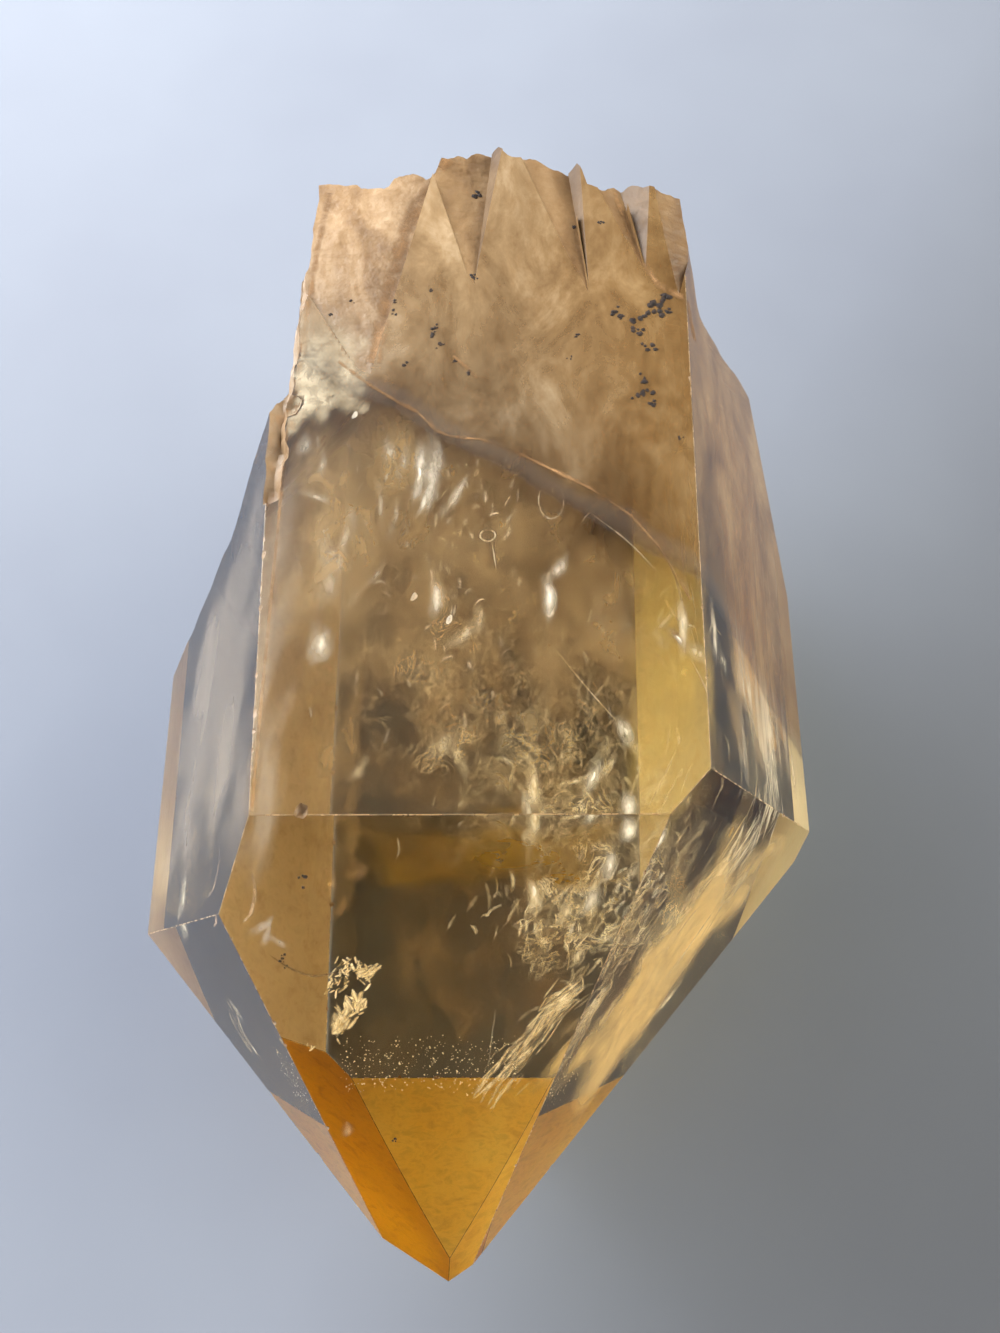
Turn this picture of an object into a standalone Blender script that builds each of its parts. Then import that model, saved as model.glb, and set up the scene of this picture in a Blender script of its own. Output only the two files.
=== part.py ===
"""A natural citrine crystal, lying on one of its prism faces.

It is one piece: a six-sided quartz prism with a six-faced pyramid at one end and a rough break at the other.
The crystal is made the way its faces grow. A block is cut by one plane for each face, each plane set by its
angle round the long axis, its lean and its distance from that axis. The broken end is cut away afterwards.
Lengths in the tables are millimetres. X is across the crystal, Y runs from the point to the broken end,
and Z is up. Y = 0 is the shoulder, where the front pyramid face meets the front prism face.
"""

import math

import bmesh
import bpy
from mathutils import Matrix, Vector, noise

MM = 0.001
NODE = "citrine_crystal"

# The long axis lies at this height, so that the bottom prism face is at Z = 0.
AXIS_HEIGHT = 25.3

# Each prism face: angle round the long axis from straight up towards +X, in degrees; lean, in degrees, which is
# positive where the crystal narrows towards the broken end; distance from the axis.
PRISM_FACES = {
    "top": (0.0, 2.0, 25.3),
    "upper_right": (60.0, 0.0, 26.75),
    "lower_right": (119.7, -0.5, 26.2),
    "bottom": (180.0, 0.0, 25.3),
    "lower_left": (-120.4, 0.0, 26.4),
    "upper_left": (-60.0, -1.0, 26.5),
}

# The pyramid faces of quartz lean 38.2 degrees from the prism faces. Three of these lie nearer than the others.
PYRAMID_FACES = {
    "point_top": (0.4, -39.2, 20.1),
    "point_upper_right": (59.6, -37.7, 19.6),
    "point_lower_right": (119.9, -37.6, 20.8),
    "point_bottom": (180.0, -38.4, 26.0),
    "point_lower_left": (-120.3, -38.9, 25.0),
    "point_upper_left": (-60.0, -38.3, 25.1),
}

# A flat that takes the lower right edge off towards the broken end.
BEVEL_FACES = {
    "right_bevel": (92.6, 13.8, 36.0),
}

# The block that the faces are cut from: half width, half height, and where it starts and ends along Y.
BLOCK_HALF_WIDTH = 45.0
BLOCK_HALF_HEIGHT = 40.0
BLOCK_FRONT = -60.0
BLOCK_BACK = 75.0

# The break. It is a sheet of steps across X, each with its reach along Y at the height of the top face.
BREAK_STEPS = (
    (-18.0, 58.6),
    (-9.3, 60.2),
    (-5.6, 61.6),
    (-2.0, 62.6),
    (0.8, 60.2),
    (6.6, 59.6),
    (8.2, 56.8),
    (10.8, 57.6),
    (13.4, 56.6),
)
BREAK_STEP_WIDTH = 0.9
BREAK_TOP_HEIGHT = 49.0
BREAK_UNDERCUT = 0.30
BREAK_CELL = 1.45
BREAK_RELIEF = 2.3
BREAK_GRAIN = 13.0

# Each scoop is broken away beyond all its walls. A wall is a point on it and its outward normal.
LEFT_SCOOP = (
    ((-28.5, 19.8, 29.4), (-0.79, 0.585, 0.186)),
    ((-21.6, 25.5, 42.0), (-0.88, 0.474, 0.024)),
    ((-16.3, 40.0, 49.5), (-0.97, 0.02, -0.24)),
)
RIGHT_SCOOP = (
    ((24.4, 44.6, 37.0), (0.22, 0.95, 0.16)),
    ((18.6, 47.0, 47.0), (0.96, 0.15, -0.22)),
)
SCOOP_VOXEL = 1.5
SCOOP_RELIEF = 0.6
SCOOP_GRAIN = 6.0

# Ledges split off the top face beside the break. Each is a triangle: where its corners are across and along the
# crystal, and how far below the top face they lie.
TOP_LEDGES = {
    "left_ledge": ((-9.6, 35.0, -0.1), (-27.0, 64.0, 1.9), (-3.6, 64.0, 2.7)),
    "middle_ledge": ((-1.0, 44.5, -0.1), (-6.7, 64.3, 1.0), (0.6, 64.3, 2.5)),
    "middle_ridge": ((-1.1, 43.8, -0.2), (0.4, 64.6, 2.45), (2.0, 64.6, -0.1)),
    "ridge_hollow": ((8.9, 43.5, -0.1), (2.3, 62.2, 0.2), (7.2, 62.2, 1.7)),
    "bright_ridge": ((9.1, 43.1, -0.2), (7.0, 62.7, 1.62), (8.4, 62.7, -0.1)),
    "right_hollow": ((13.8, 46.4, -0.1), (8.4, 60.4, 0.2), (11.7, 60.4, 1.7)),
    "column_side": ((14.1, 45.7, -0.2), (11.5, 60.8, 1.82), (14.8, 60.8, 0.1)),
    "column_edge": ((16.4, 43.6, -0.1), (14.6, 61.1, 0.15), (21.0, 61.1, 3.2)),
}
LEDGE_HEADROOM = 9.0

# The chipped strip along the left edge of the top face.
CHIP_START = (-16.9, 24.0, 50.1)
CHIP_END = (-15.6, 62.0, 48.7)
CHIP_WIDTH = 1.9
CHIP_VOXEL = 0.9


def direction(angle, lean):
    """The outward normal of a face at this angle round the long axis, leaning by this much towards +Y."""
    turned, leaned = math.radians(angle), math.radians(lean)
    across = math.cos(leaned)
    return Vector((across * math.sin(turned), math.sin(leaned), across * math.cos(turned)))


def block():
    """The uncut block, as a bmesh in millimetres."""
    mesh = bmesh.new()
    bmesh.ops.create_cube(mesh, size=1.0)
    length = BLOCK_BACK - BLOCK_FRONT
    middle = Vector((0.0, (BLOCK_BACK + BLOCK_FRONT) / 2, AXIS_HEIGHT))
    size = Matrix.Diagonal((2 * BLOCK_HALF_WIDTH, length, 2 * BLOCK_HALF_HEIGHT, 1.0))
    bmesh.ops.transform(mesh, matrix=Matrix.Translation(middle) @ size, verts=mesh.verts)
    return mesh


def slice_away(mesh, point, normal):
    """Cuts off what lies beyond a plane, and closes the cut with one flat face."""
    geometry = mesh.verts[:] + mesh.edges[:] + mesh.faces[:]
    bmesh.ops.bisect_plane(
        mesh, geom=geometry, dist=1e-5, plane_co=point, plane_no=normal, clear_outer=True
    )
    bmesh.ops.holes_fill(mesh, edges=mesh.edges[:], sides=0)


def linked_object(name, mesh, collection):
    """A new object holding the bmesh, which is freed."""
    bmesh.ops.recalc_face_normals(mesh, faces=mesh.faces[:])
    data = bpy.data.meshes.new(name)
    mesh.to_mesh(data)
    mesh.free()
    item = bpy.data.objects.new(name, data)
    collection.objects.link(item)
    return item


def whole_crystal(collection):
    """The crystal as it would be with its base unbroken."""
    mesh = block()
    axis_point = Vector((0.0, 0.0, AXIS_HEIGHT))
    for faces in (PRISM_FACES, PYRAMID_FACES, BEVEL_FACES):
        for angle, lean, distance in faces.values():
            normal = direction(angle, lean)
            slice_away(mesh, axis_point + normal * distance, normal)
    return linked_object(NODE, mesh, collection)


def smooth_step(value, low, high):
    """0 below low, 1 above high, and a smooth rise between them."""
    share = min(1.0, max(0.0, (value - low) / (high - low)))
    return share * share * (3 - 2 * share)


def break_reach(x, z):
    """How far the crystal reaches along Y, at this place across it."""
    reach = BREAK_STEPS[0][1]
    for (_, before), (place, after) in zip(BREAK_STEPS, BREAK_STEPS[1:]):
        reach += (after - before) * smooth_step(x, place, place + BREAK_STEP_WIDTH)
    reach -= BREAK_UNDERCUT * max(0.0, BREAK_TOP_HEIGHT - z)
    depth = smooth_step(BREAK_TOP_HEIGHT - z, 0.0, 8.0)
    hollows = noise.noise(Vector((x / BREAK_GRAIN, 0.0, z / BREAK_GRAIN)))
    ridges = 1 - 2 * abs(noise.noise(Vector((x / 5.0, 3.7, z / 11.0))))
    splinters = noise.cell(Vector((x / 3.1, 8.2, z / 7.3)))
    return reach + depth * (BREAK_RELIEF * (1.6 * hollows + 0.7 * ridges) + 1.1 * splinters)


def break_cutter(collection):
    """Everything beyond the break, as a sheet bent to the break and extruded away from the crystal."""
    mesh = bmesh.new()
    half = 42.0
    cells = round(2 * half / BREAK_CELL)
    bmesh.ops.create_grid(mesh, x_segments=cells, y_segments=cells, size=half)
    for vertex in mesh.verts:
        x, z = vertex.co.x, vertex.co.y + AXIS_HEIGHT
        vertex.co = Vector((x, break_reach(x, z), z))
    sides = bmesh.ops.extrude_face_region(mesh, geom=mesh.faces[:])
    moved = [item for item in sides["geom"] if isinstance(item, bmesh.types.BMVert)]
    for vertex in moved:
        vertex.co.y = BLOCK_BACK + 5.0
    return linked_object("break_cutter", mesh, collection)


def roughen(item, voxel, relief, grain):
    """Remeshes a cutter and ripples it, as quartz breaks, without moving it far."""
    remesh = item.modifiers.new("remesh", "REMESH")
    remesh.mode = "VOXEL"
    remesh.voxel_size = voxel
    graph = bpy.context.evaluated_depsgraph_get()
    data = bpy.data.meshes.new_from_object(item.evaluated_get(graph))
    item.modifiers.clear()
    item.data = data
    for vertex, normal in [(v, v.normal.copy()) for v in data.vertices]:
        place = vertex.co / grain
        ripple = noise.noise(place) + 0.4 * noise.noise(place * 2.7)
        vertex.co += normal * (relief * ripple)


def scoop_cutter(name, walls, collection):
    """What a chip took away: the part of the block that is beyond both walls."""
    mesh = block()
    for point, normal in walls:
        slice_away(mesh, Vector(point), -Vector(normal))
    item = linked_object(name, mesh, collection)
    roughen(item, SCOOP_VOXEL, SCOOP_RELIEF, SCOOP_GRAIN)
    return item


def top_height(y):
    """The height of the top prism face at this place along the crystal."""
    angle, lean, distance = PRISM_FACES["top"]
    normal = direction(angle, lean)
    return AXIS_HEIGHT + (distance - normal.y * y) / normal.z


def ledge_cutter(name, corners, collection):
    """Everything over one ledge: its triangle, and the same triangle lifted clear of the crystal."""
    mesh = bmesh.new()
    floor = [Vector((x, y, top_height(y) - depth)) for x, y, depth in corners]
    lift = Vector((0.0, 0.0, LEDGE_HEADROOM))
    low = [mesh.verts.new(corner) for corner in floor]
    high = [mesh.verts.new(corner + lift) for corner in floor]
    mesh.faces.new(low)
    mesh.faces.new(high)
    for one, two in ((0, 1), (1, 2), (2, 0)):
        mesh.faces.new((low[one], low[two], high[two], high[one]))
    return linked_object(name, mesh, collection)


def chip_cutter(collection):
    """The rough bar that takes the left edge off the top face."""
    start, end = Vector(CHIP_START), Vector(CHIP_END)
    mesh = bmesh.new()
    bmesh.ops.create_cube(mesh, size=1.0)
    turn = (end - start).to_track_quat("Y", "Z").to_matrix().to_4x4()
    roll = Matrix.Rotation(math.radians(33.0), 4, "Y")
    size = Matrix.Diagonal((CHIP_WIDTH, (end - start).length, CHIP_WIDTH, 1.0))
    place = Matrix.Translation((start + end) / 2)
    bmesh.ops.transform(mesh, matrix=place @ turn @ roll @ size, verts=mesh.verts)
    item = linked_object("chip_cutter", mesh, collection)
    roughen(item, CHIP_VOXEL, 0.55, 2.3)
    return item


def cut(item, cutter):
    """Takes the cutter's shape out of the crystal, and hides the cutter."""
    cutter.hide_render = True
    cutter.display_type = "WIRE"
    boolean = item.modifiers.new(cutter.name, "BOOLEAN")
    boolean.operation = "DIFFERENCE"
    boolean.solver = "EXACT"
    boolean.object = cutter


def apply_cuts(item):
    """Turns the crystal and its cuts into one mesh, with no doubled points and no stray slivers."""
    graph = bpy.context.evaluated_depsgraph_get()
    data = bpy.data.meshes.new_from_object(item.evaluated_get(graph))
    item.modifiers.clear()
    item.data = data
    mesh = bmesh.new()
    mesh.from_mesh(data)
    bmesh.ops.remove_doubles(mesh, verts=mesh.verts[:], dist=0.02)
    bmesh.ops.dissolve_limit(
        mesh, angle_limit=math.radians(0.4), verts=mesh.verts[:], edges=mesh.edges[:]
    )
    bmesh.ops.triangulate(mesh, faces=mesh.faces[:])
    mesh.to_mesh(data)
    mesh.free()


def set_down(item):
    """Puts the crystal in metres, with its middle over the origin and its bottom face on Z = 0."""
    data = item.data
    data.transform(Matrix.Scale(MM, 4))
    corners = [vertex.co for vertex in data.vertices]
    low = Vector([min(corner[axis] for corner in corners) for axis in range(3)])
    high = Vector([max(corner[axis] for corner in corners) for axis in range(3)])
    data.transform(Matrix.Translation((-(low.x + high.x) / 2, -(low.y + high.y) / 2, -low.z)))


def citrine_material():
    """Clear honey-coloured quartz."""
    material = bpy.data.materials.new("citrine")
    material.use_nodes = True
    shader = material.node_tree.nodes["Principled BSDF"]
    shader.inputs["Base Color"].default_value = (0.83, 0.60, 0.30, 1.0)
    shader.inputs["Roughness"].default_value = 0.04
    shader.inputs["Metallic"].default_value = 0.0
    shader.inputs["Transmission Weight"].default_value = 1.0
    shader.inputs["IOR"].default_value = 1.544
    return material


def main():
    for item in list(bpy.data.objects):
        bpy.data.objects.remove(item)
    model = bpy.data.collections.new("citrine_specimen")
    cutters = bpy.data.collections.new("cutters")
    bpy.context.scene.collection.children.link(model)
    bpy.context.scene.collection.children.link(cutters)

    crystal = whole_crystal(model)
    cut(crystal, break_cutter(cutters))
    for name, corners in TOP_LEDGES.items():
        cut(crystal, ledge_cutter(name, corners, cutters))
    cut(crystal, scoop_cutter("left_scoop", LEFT_SCOOP, cutters))
    cut(crystal, scoop_cutter("right_scoop", RIGHT_SCOOP, cutters))
    cut(crystal, chip_cutter(cutters))
    apply_cuts(crystal)
    for item in list(cutters.objects):
        bpy.data.objects.remove(item)
    set_down(crystal)

    crystal.data.materials.append(citrine_material())


main()
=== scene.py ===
"""The looks of the citrine crystal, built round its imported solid.

The crystal is grown again from its face planes at a finer grain, with narrow worn edges and chips, and it is clear
quartz all through: refraction and absorption make its zones of gold, smoke and grey. Inside it lie the veils,
fibres, flakes, healed crack and bubbles of the real one, and on it the mineral specks.

Lengths are millimetres in the growth frame: X across, Y from the point to the broken end with 0 at the front
shoulder, and Z up from the face it lies on. to_row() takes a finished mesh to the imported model's frame in metres.
"""

import math
import random

import bmesh
import bpy
from mathutils import Matrix, Quaternion, Vector, noise
from mathutils.bvhtree import BVHTree


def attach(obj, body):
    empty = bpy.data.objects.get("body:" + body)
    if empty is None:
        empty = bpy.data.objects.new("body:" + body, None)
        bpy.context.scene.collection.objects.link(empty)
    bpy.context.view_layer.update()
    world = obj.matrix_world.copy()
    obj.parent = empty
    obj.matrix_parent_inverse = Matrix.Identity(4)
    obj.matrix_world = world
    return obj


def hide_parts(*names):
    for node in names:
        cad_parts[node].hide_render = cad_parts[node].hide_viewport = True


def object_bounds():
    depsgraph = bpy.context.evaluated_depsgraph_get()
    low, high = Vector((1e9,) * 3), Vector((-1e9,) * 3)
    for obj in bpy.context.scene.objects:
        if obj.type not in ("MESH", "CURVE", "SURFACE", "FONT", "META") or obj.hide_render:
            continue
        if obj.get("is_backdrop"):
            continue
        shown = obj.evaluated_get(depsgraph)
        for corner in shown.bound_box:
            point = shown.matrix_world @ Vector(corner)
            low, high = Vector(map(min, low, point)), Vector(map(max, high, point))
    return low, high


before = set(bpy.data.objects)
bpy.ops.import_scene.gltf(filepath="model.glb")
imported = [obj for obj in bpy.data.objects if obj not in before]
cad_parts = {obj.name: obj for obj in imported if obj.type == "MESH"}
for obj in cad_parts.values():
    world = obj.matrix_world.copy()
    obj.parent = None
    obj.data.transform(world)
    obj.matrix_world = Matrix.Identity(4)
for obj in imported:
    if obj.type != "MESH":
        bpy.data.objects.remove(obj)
cad_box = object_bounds()

NODE = "citrine_crystal"
BODY = "root"
MM = 0.001
ROW_ORIGIN = Vector((-0.0605, 13.6278, 0.0))

# The shape, as in the solid

AXIS_HEIGHT = 25.3
GROWTH_FACES = {
    "top": (0.0, 2.0, 25.3),
    "upper_right": (60.0, 0.0, 26.75),
    "lower_right": (119.7, -0.5, 26.2),
    "bottom": (180.0, 0.0, 25.3),
    "lower_left": (-120.4, 0.0, 26.4),
    "upper_left": (-60.0, -1.0, 26.5),
    "point_top": (0.4, -39.2, 20.1),
    "point_upper_right": (59.6, -37.7, 19.6),
    "point_lower_right": (119.9, -37.6, 20.8),
    "point_bottom": (180.0, -38.4, 26.0),
    "point_lower_left": (-120.3, -38.9, 25.0),
    "point_upper_left": (-60.0, -38.3, 25.1),
    "right_bevel": (92.6, 13.8, 36.0),
}
BLOCK_HALF_WIDTH = 45.0
BLOCK_HALF_HEIGHT = 40.0
BLOCK_FRONT = -60.0
BLOCK_BACK = 75.0
EDGE_WIDTH = 0.13

BREAK_STEPS = (
    (-18.0, 58.6), (-9.3, 60.2), (-5.6, 61.6), (-2.0, 62.6), (0.8, 60.2),
    (6.6, 59.6), (8.2, 56.8), (10.8, 57.6), (13.4, 56.6),
)
BREAK_STEP_WIDTH = 0.9
BREAK_TOP_HEIGHT = 49.0
BREAK_UNDERCUT = 0.30
BREAK_CELL = 0.42
BREAK_RELIEF = 2.3
BREAK_GRAIN = 13.0

LEFT_SCOOP = (
    ((-28.5, 19.8, 29.4), (-0.79, 0.585, 0.186)),
    ((-21.6, 25.5, 42.0), (-0.88, 0.474, 0.024)),
    ((-16.3, 40.0, 49.5), (-0.97, 0.02, -0.24)),
)
RIGHT_SCOOP = (
    ((24.4, 44.6, 37.0), (0.22, 0.95, 0.16)),
    ((18.6, 47.0, 47.0), (0.96, 0.15, -0.22)),
)
SCOOP_VOXEL = 0.8
SCOOP_RELIEF = 0.6
SCOOP_GRAIN = 6.0

TOP_LEDGES = {
    "left_ledge": ((-9.6, 35.0, -0.1), (-27.0, 64.0, 1.9), (-3.6, 64.0, 2.7)),
    "middle_ledge": ((-1.0, 44.5, -0.1), (-6.7, 64.3, 1.0), (0.6, 64.3, 2.5)),
    "middle_ridge": ((-1.1, 43.8, -0.2), (0.4, 64.6, 2.45), (2.0, 64.6, -0.1)),
    "ridge_hollow": ((8.9, 43.5, -0.1), (2.3, 62.2, 0.2), (7.2, 62.2, 1.7)),
    "bright_ridge": ((9.1, 43.1, -0.2), (7.0, 62.7, 1.62), (8.4, 62.7, -0.1)),
    "right_hollow": ((13.8, 46.4, -0.1), (8.4, 60.4, 0.2), (11.7, 60.4, 1.7)),
    "column_side": ((14.1, 45.7, -0.2), (11.5, 60.8, 1.82), (14.8, 60.8, 0.1)),
    "column_edge": ((16.4, 43.6, -0.1), (14.6, 61.1, 0.15), (21.0, 61.1, 3.2)),
}
LEDGE_HEADROOM = 9.0
STEEP_LEDGES = ("middle_ridge", "bright_ridge", "column_side")

CHIP_START = (-16.9, 24.0, 50.1)
CHIP_END = (-15.6, 62.0, 48.7)
CHIP_WIDTH = 1.9
CHIP_VOXEL = 0.42


def direction(angle, lean):
    """The outward normal of a face at this angle round the long axis, leaning by this much towards +Y."""
    turned, leaned = math.radians(angle), math.radians(lean)
    across = math.cos(leaned)
    return Vector((across * math.sin(turned), math.sin(leaned), across * math.cos(turned)))


def face_plane(name):
    """A point on a growth face and its normal."""
    angle, lean, distance = GROWTH_FACES[name]
    normal = direction(angle, lean)
    return Vector((0.0, 0.0, AXIS_HEIGHT)) + normal * distance, normal


def top_height(y):
    """The height of the top prism face at this place along the crystal."""
    point, normal = face_plane("top")
    return point.z - normal.y * (y - point.y) / normal.z


def block():
    """The uncut block, as a bmesh."""
    mesh = bmesh.new()
    bmesh.ops.create_cube(mesh, size=1.0)
    length = BLOCK_BACK - BLOCK_FRONT
    middle = Vector((0.0, (BLOCK_BACK + BLOCK_FRONT) / 2, AXIS_HEIGHT))
    size = Matrix.Diagonal((2 * BLOCK_HALF_WIDTH, length, 2 * BLOCK_HALF_HEIGHT, 1.0))
    bmesh.ops.transform(mesh, matrix=Matrix.Translation(middle) @ size, verts=mesh.verts)
    return mesh


def slice_away(mesh, point, normal):
    """Cuts off what lies beyond a plane, and closes the cut with one flat face."""
    geometry = mesh.verts[:] + mesh.edges[:] + mesh.faces[:]
    bmesh.ops.bisect_plane(
        mesh, geom=geometry, dist=1e-5, plane_co=point, plane_no=normal, clear_outer=True
    )
    bmesh.ops.holes_fill(mesh, edges=mesh.edges[:], sides=0)


def mesh_object(name, mesh, materials=(), slot=None):
    """A new object holding the bmesh, which is freed. slot sets the material of every face."""
    bmesh.ops.recalc_face_normals(mesh, faces=mesh.faces[:])
    if slot is not None:
        for face in mesh.faces:
            face.material_index = slot
    data = bpy.data.meshes.new(name)
    mesh.to_mesh(data)
    mesh.free()
    for material in materials:
        data.materials.append(material)
    item = bpy.data.objects.new(name, data)
    bpy.context.scene.collection.objects.link(item)
    return item


def smooth_step(value, low, high):
    """0 below low, 1 above high, and a smooth rise between them."""
    share = min(1.0, max(0.0, (value - low) / (high - low)))
    return share * share * (3 - 2 * share)


def break_reach(x, z):
    """How far the crystal reaches along Y, at this place across it."""
    reach = BREAK_STEPS[0][1]
    for (_, before), (place, after) in zip(BREAK_STEPS, BREAK_STEPS[1:]):
        reach += (after - before) * smooth_step(x, place, place + BREAK_STEP_WIDTH)
    reach -= BREAK_UNDERCUT * max(0.0, BREAK_TOP_HEIGHT - z)
    depth = smooth_step(BREAK_TOP_HEIGHT - z, 0.0, 8.0)
    hollows = noise.noise(Vector((x / BREAK_GRAIN, 0.0, z / BREAK_GRAIN)))
    ridges = 1 - 2 * abs(noise.noise(Vector((x / 5.0, 3.7, z / 11.0))))
    crooked = Vector((x / 3.1 + 0.35 * noise.noise(Vector((x, 2.0, z)) / 4.0), 8.2, z / 7.3))
    crooked.z += 0.35 * noise.noise(Vector((x, 9.0, z)) / 5.0)
    splinters = noise.cell(crooked)
    coarse = depth * (BREAK_RELIEF * (1.6 * hollows + 0.7 * ridges) + 1.1 * splinters)
    fine = 0.6 * noise.noise(Vector((x / 1.9, 1.3, z / 2.6)))
    grit = 0.3 * noise.noise(Vector((x / 0.7, 5.1, z / 0.9)))
    return reach + coarse + fine + grit


(
    SLOT_FACE, SLOT_LEDGE, SLOT_STEEP, SLOT_EDGE, SLOT_BREAK, SLOT_AMBER, SLOT_DEEP, SLOT_FROST_LEFT,
    SLOT_FROST_RIGHT,
) = range(9)
FACE_SLOTS = {
    "point_bottom": SLOT_AMBER, "point_lower_right": SLOT_AMBER, "point_lower_left": SLOT_DEEP,
    "lower_left": SLOT_FROST_LEFT, "lower_right": SLOT_FROST_RIGHT,
}


def growth_form(materials):
    """The whole crystal before it broke, with its edges worn by a hair."""
    mesh = block()
    for name in GROWTH_FACES:
        slice_away(mesh, *face_plane(name))
    bmesh.ops.recalc_face_normals(mesh, faces=mesh.faces[:])
    for name, slot in FACE_SLOTS.items():
        normal = face_plane(name)[1]
        for face in mesh.faces:
            if face.normal.dot(normal) > 0.999:
                face.material_index = slot
    far = BLOCK_BACK - 1.0
    worn = [edge for edge in mesh.edges if min(vert.co.y for vert in edge.verts) < far]
    bmesh.ops.bevel(
        mesh, geom=worn, offset=EDGE_WIDTH, segments=2, profile=0.6, affect="EDGES",
        clamp_overlap=True, material=SLOT_EDGE,
    )
    return mesh_object("crystal", mesh, materials)


def break_cutter(materials):
    """Everything beyond the break, as a sheet bent to the break and extruded away from the crystal."""
    mesh = bmesh.new()
    half = 33.0
    cells = round(2 * half / BREAK_CELL)
    bmesh.ops.create_grid(mesh, x_segments=cells, y_segments=cells, size=half)
    for vertex in mesh.verts:
        x, z = vertex.co.x, vertex.co.y + AXIS_HEIGHT
        vertex.co = Vector((x, break_reach(x, z), z))
    sides = bmesh.ops.extrude_face_region(mesh, geom=mesh.faces[:])
    for vertex in (part for part in sides["geom"] if isinstance(part, bmesh.types.BMVert)):
        vertex.co.y = BLOCK_BACK + 5.0
    return mesh_object("break_cutter", mesh, materials, SLOT_BREAK)


def remeshed(item, voxel):
    """Replaces the object's mesh by its voxel remesh."""
    remesh = item.modifiers.new("remesh", "REMESH")
    remesh.mode = "VOXEL"
    remesh.voxel_size = voxel
    bake_modifiers(item)


def bake_modifiers(item):
    """Applies every modifier of the object."""
    graph = bpy.context.evaluated_depsgraph_get()
    data = bpy.data.meshes.new_from_object(item.evaluated_get(graph))
    materials = list(item.data.materials)
    item.modifiers.clear()
    item.data = data
    kinds = [face.material_index for face in data.polygons]
    data.materials.clear()
    for material in materials:
        data.materials.append(material)
    data.polygons.foreach_set("material_index", kinds)


def roughen(item, voxel, relief, grain):
    """Remeshes a cutter and ripples it, as quartz breaks, without moving it far."""
    remeshed(item, voxel)
    data = item.data
    for vertex, normal in [(v, v.normal.copy()) for v in data.vertices]:
        place = vertex.co / grain
        ripple = noise.noise(place) + 0.4 * noise.noise(place * 2.7) + 0.12 * noise.noise(place * 8.0)
        vertex.co += normal * (relief * ripple)
    data.polygons.foreach_set("material_index", [SLOT_BREAK] * len(data.polygons))


def scoop_cutter(name, walls, materials):
    """What a chip took away: the part of the block that is beyond all the walls."""
    mesh = block()
    for point, normal in walls:
        slice_away(mesh, Vector(point), -Vector(normal))
    slice_away(mesh, Vector((0.0, 10.0, 0.0)), Vector((0.0, -1.0, 0.0)))
    slice_away(mesh, Vector((0.0, 0.0, -5.0)), Vector((0.0, 0.0, -1.0)))
    slice_away(mesh, Vector((0.0, 0.0, 56.0)), Vector((0.0, 0.0, 1.0)))
    for side in (-1, 1):
        slice_away(mesh, Vector((side * 36.0, 0.0, 0.0)), Vector((side, 0.0, 0.0)))
    item = mesh_object(name, mesh, materials)
    roughen(item, SCOOP_VOXEL, SCOOP_RELIEF, SCOOP_GRAIN)
    return item


def ledge_cutter(name, corners, materials):
    """Everything over one ledge: its triangle, and the same triangle lifted clear of the crystal."""
    mesh = bmesh.new()
    floor = [Vector((x, y, top_height(y) - depth)) for x, y, depth in corners]
    lift = Vector((0.0, 0.0, LEDGE_HEADROOM))
    low = [mesh.verts.new(corner) for corner in floor]
    high = [mesh.verts.new(corner + lift) for corner in floor]
    mesh.faces.new(low)
    mesh.faces.new(high)
    for one, two in ((0, 1), (1, 2), (2, 0)):
        mesh.faces.new((low[one], low[two], high[two], high[one]))
    return mesh_object(name, mesh, materials, SLOT_STEEP if name in STEEP_LEDGES else SLOT_LEDGE)


def chip_cutter(materials):
    """The rough bar that takes the left edge off the top face."""
    start, end = Vector(CHIP_START), Vector(CHIP_END)
    mesh = bmesh.new()
    bmesh.ops.create_cube(mesh, size=1.0)
    turn = (end - start).to_track_quat("Y", "Z").to_matrix().to_4x4()
    roll = Matrix.Rotation(math.radians(33.0), 4, "Y")
    size = Matrix.Diagonal((CHIP_WIDTH, (end - start).length, CHIP_WIDTH, 1.0))
    place = Matrix.Translation((start + end) / 2)
    bmesh.ops.transform(mesh, matrix=place @ turn @ roll @ size, verts=mesh.verts)
    item = mesh_object("chip_cutter", mesh, materials)
    roughen(item, CHIP_VOXEL, 0.55, 2.3)
    return item


# Nicks along the edges: two face names, the share of the edge where they lie, how many, and their radius.
NICKS = (
    ("top", "upper_left", 0.02, 0.46, 34, 0.34),
    ("top", "upper_right", 0.05, 0.55, 9, 0.26),
    ("upper_right", "point_upper_right", 0.1, 0.9, 4, 0.24),
    ("point_top", "point_upper_right", 0.1, 0.95, 6, 0.24),
    ("point_top", "point_upper_left", 0.1, 0.95, 6, 0.24),
    ("point_upper_left", "point_lower_left", 0.15, 0.8, 7, 0.34),
    ("point_upper_right", "point_lower_right", 0.15, 0.8, 5, 0.30),
    ("upper_left", "lower_left", 0.05, 0.3, 5, 0.3),
    ("upper_right", "lower_right", 0.02, 0.4, 6, 0.3),
    ("bottom", "lower_left", 0.05, 0.8, 9, 0.4),
    ("bottom", "lower_right", 0.05, 0.8, 9, 0.4),
    ("bottom", "point_bottom", 0.1, 0.9, 4, 0.35),
)
# Two small pits on the top face's edges, each a place and a radius.
PITS = (((-12.3, -0.55, 50.75), 0.62), ((-15.9, 33.0, 49.6), 1.0))


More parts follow.
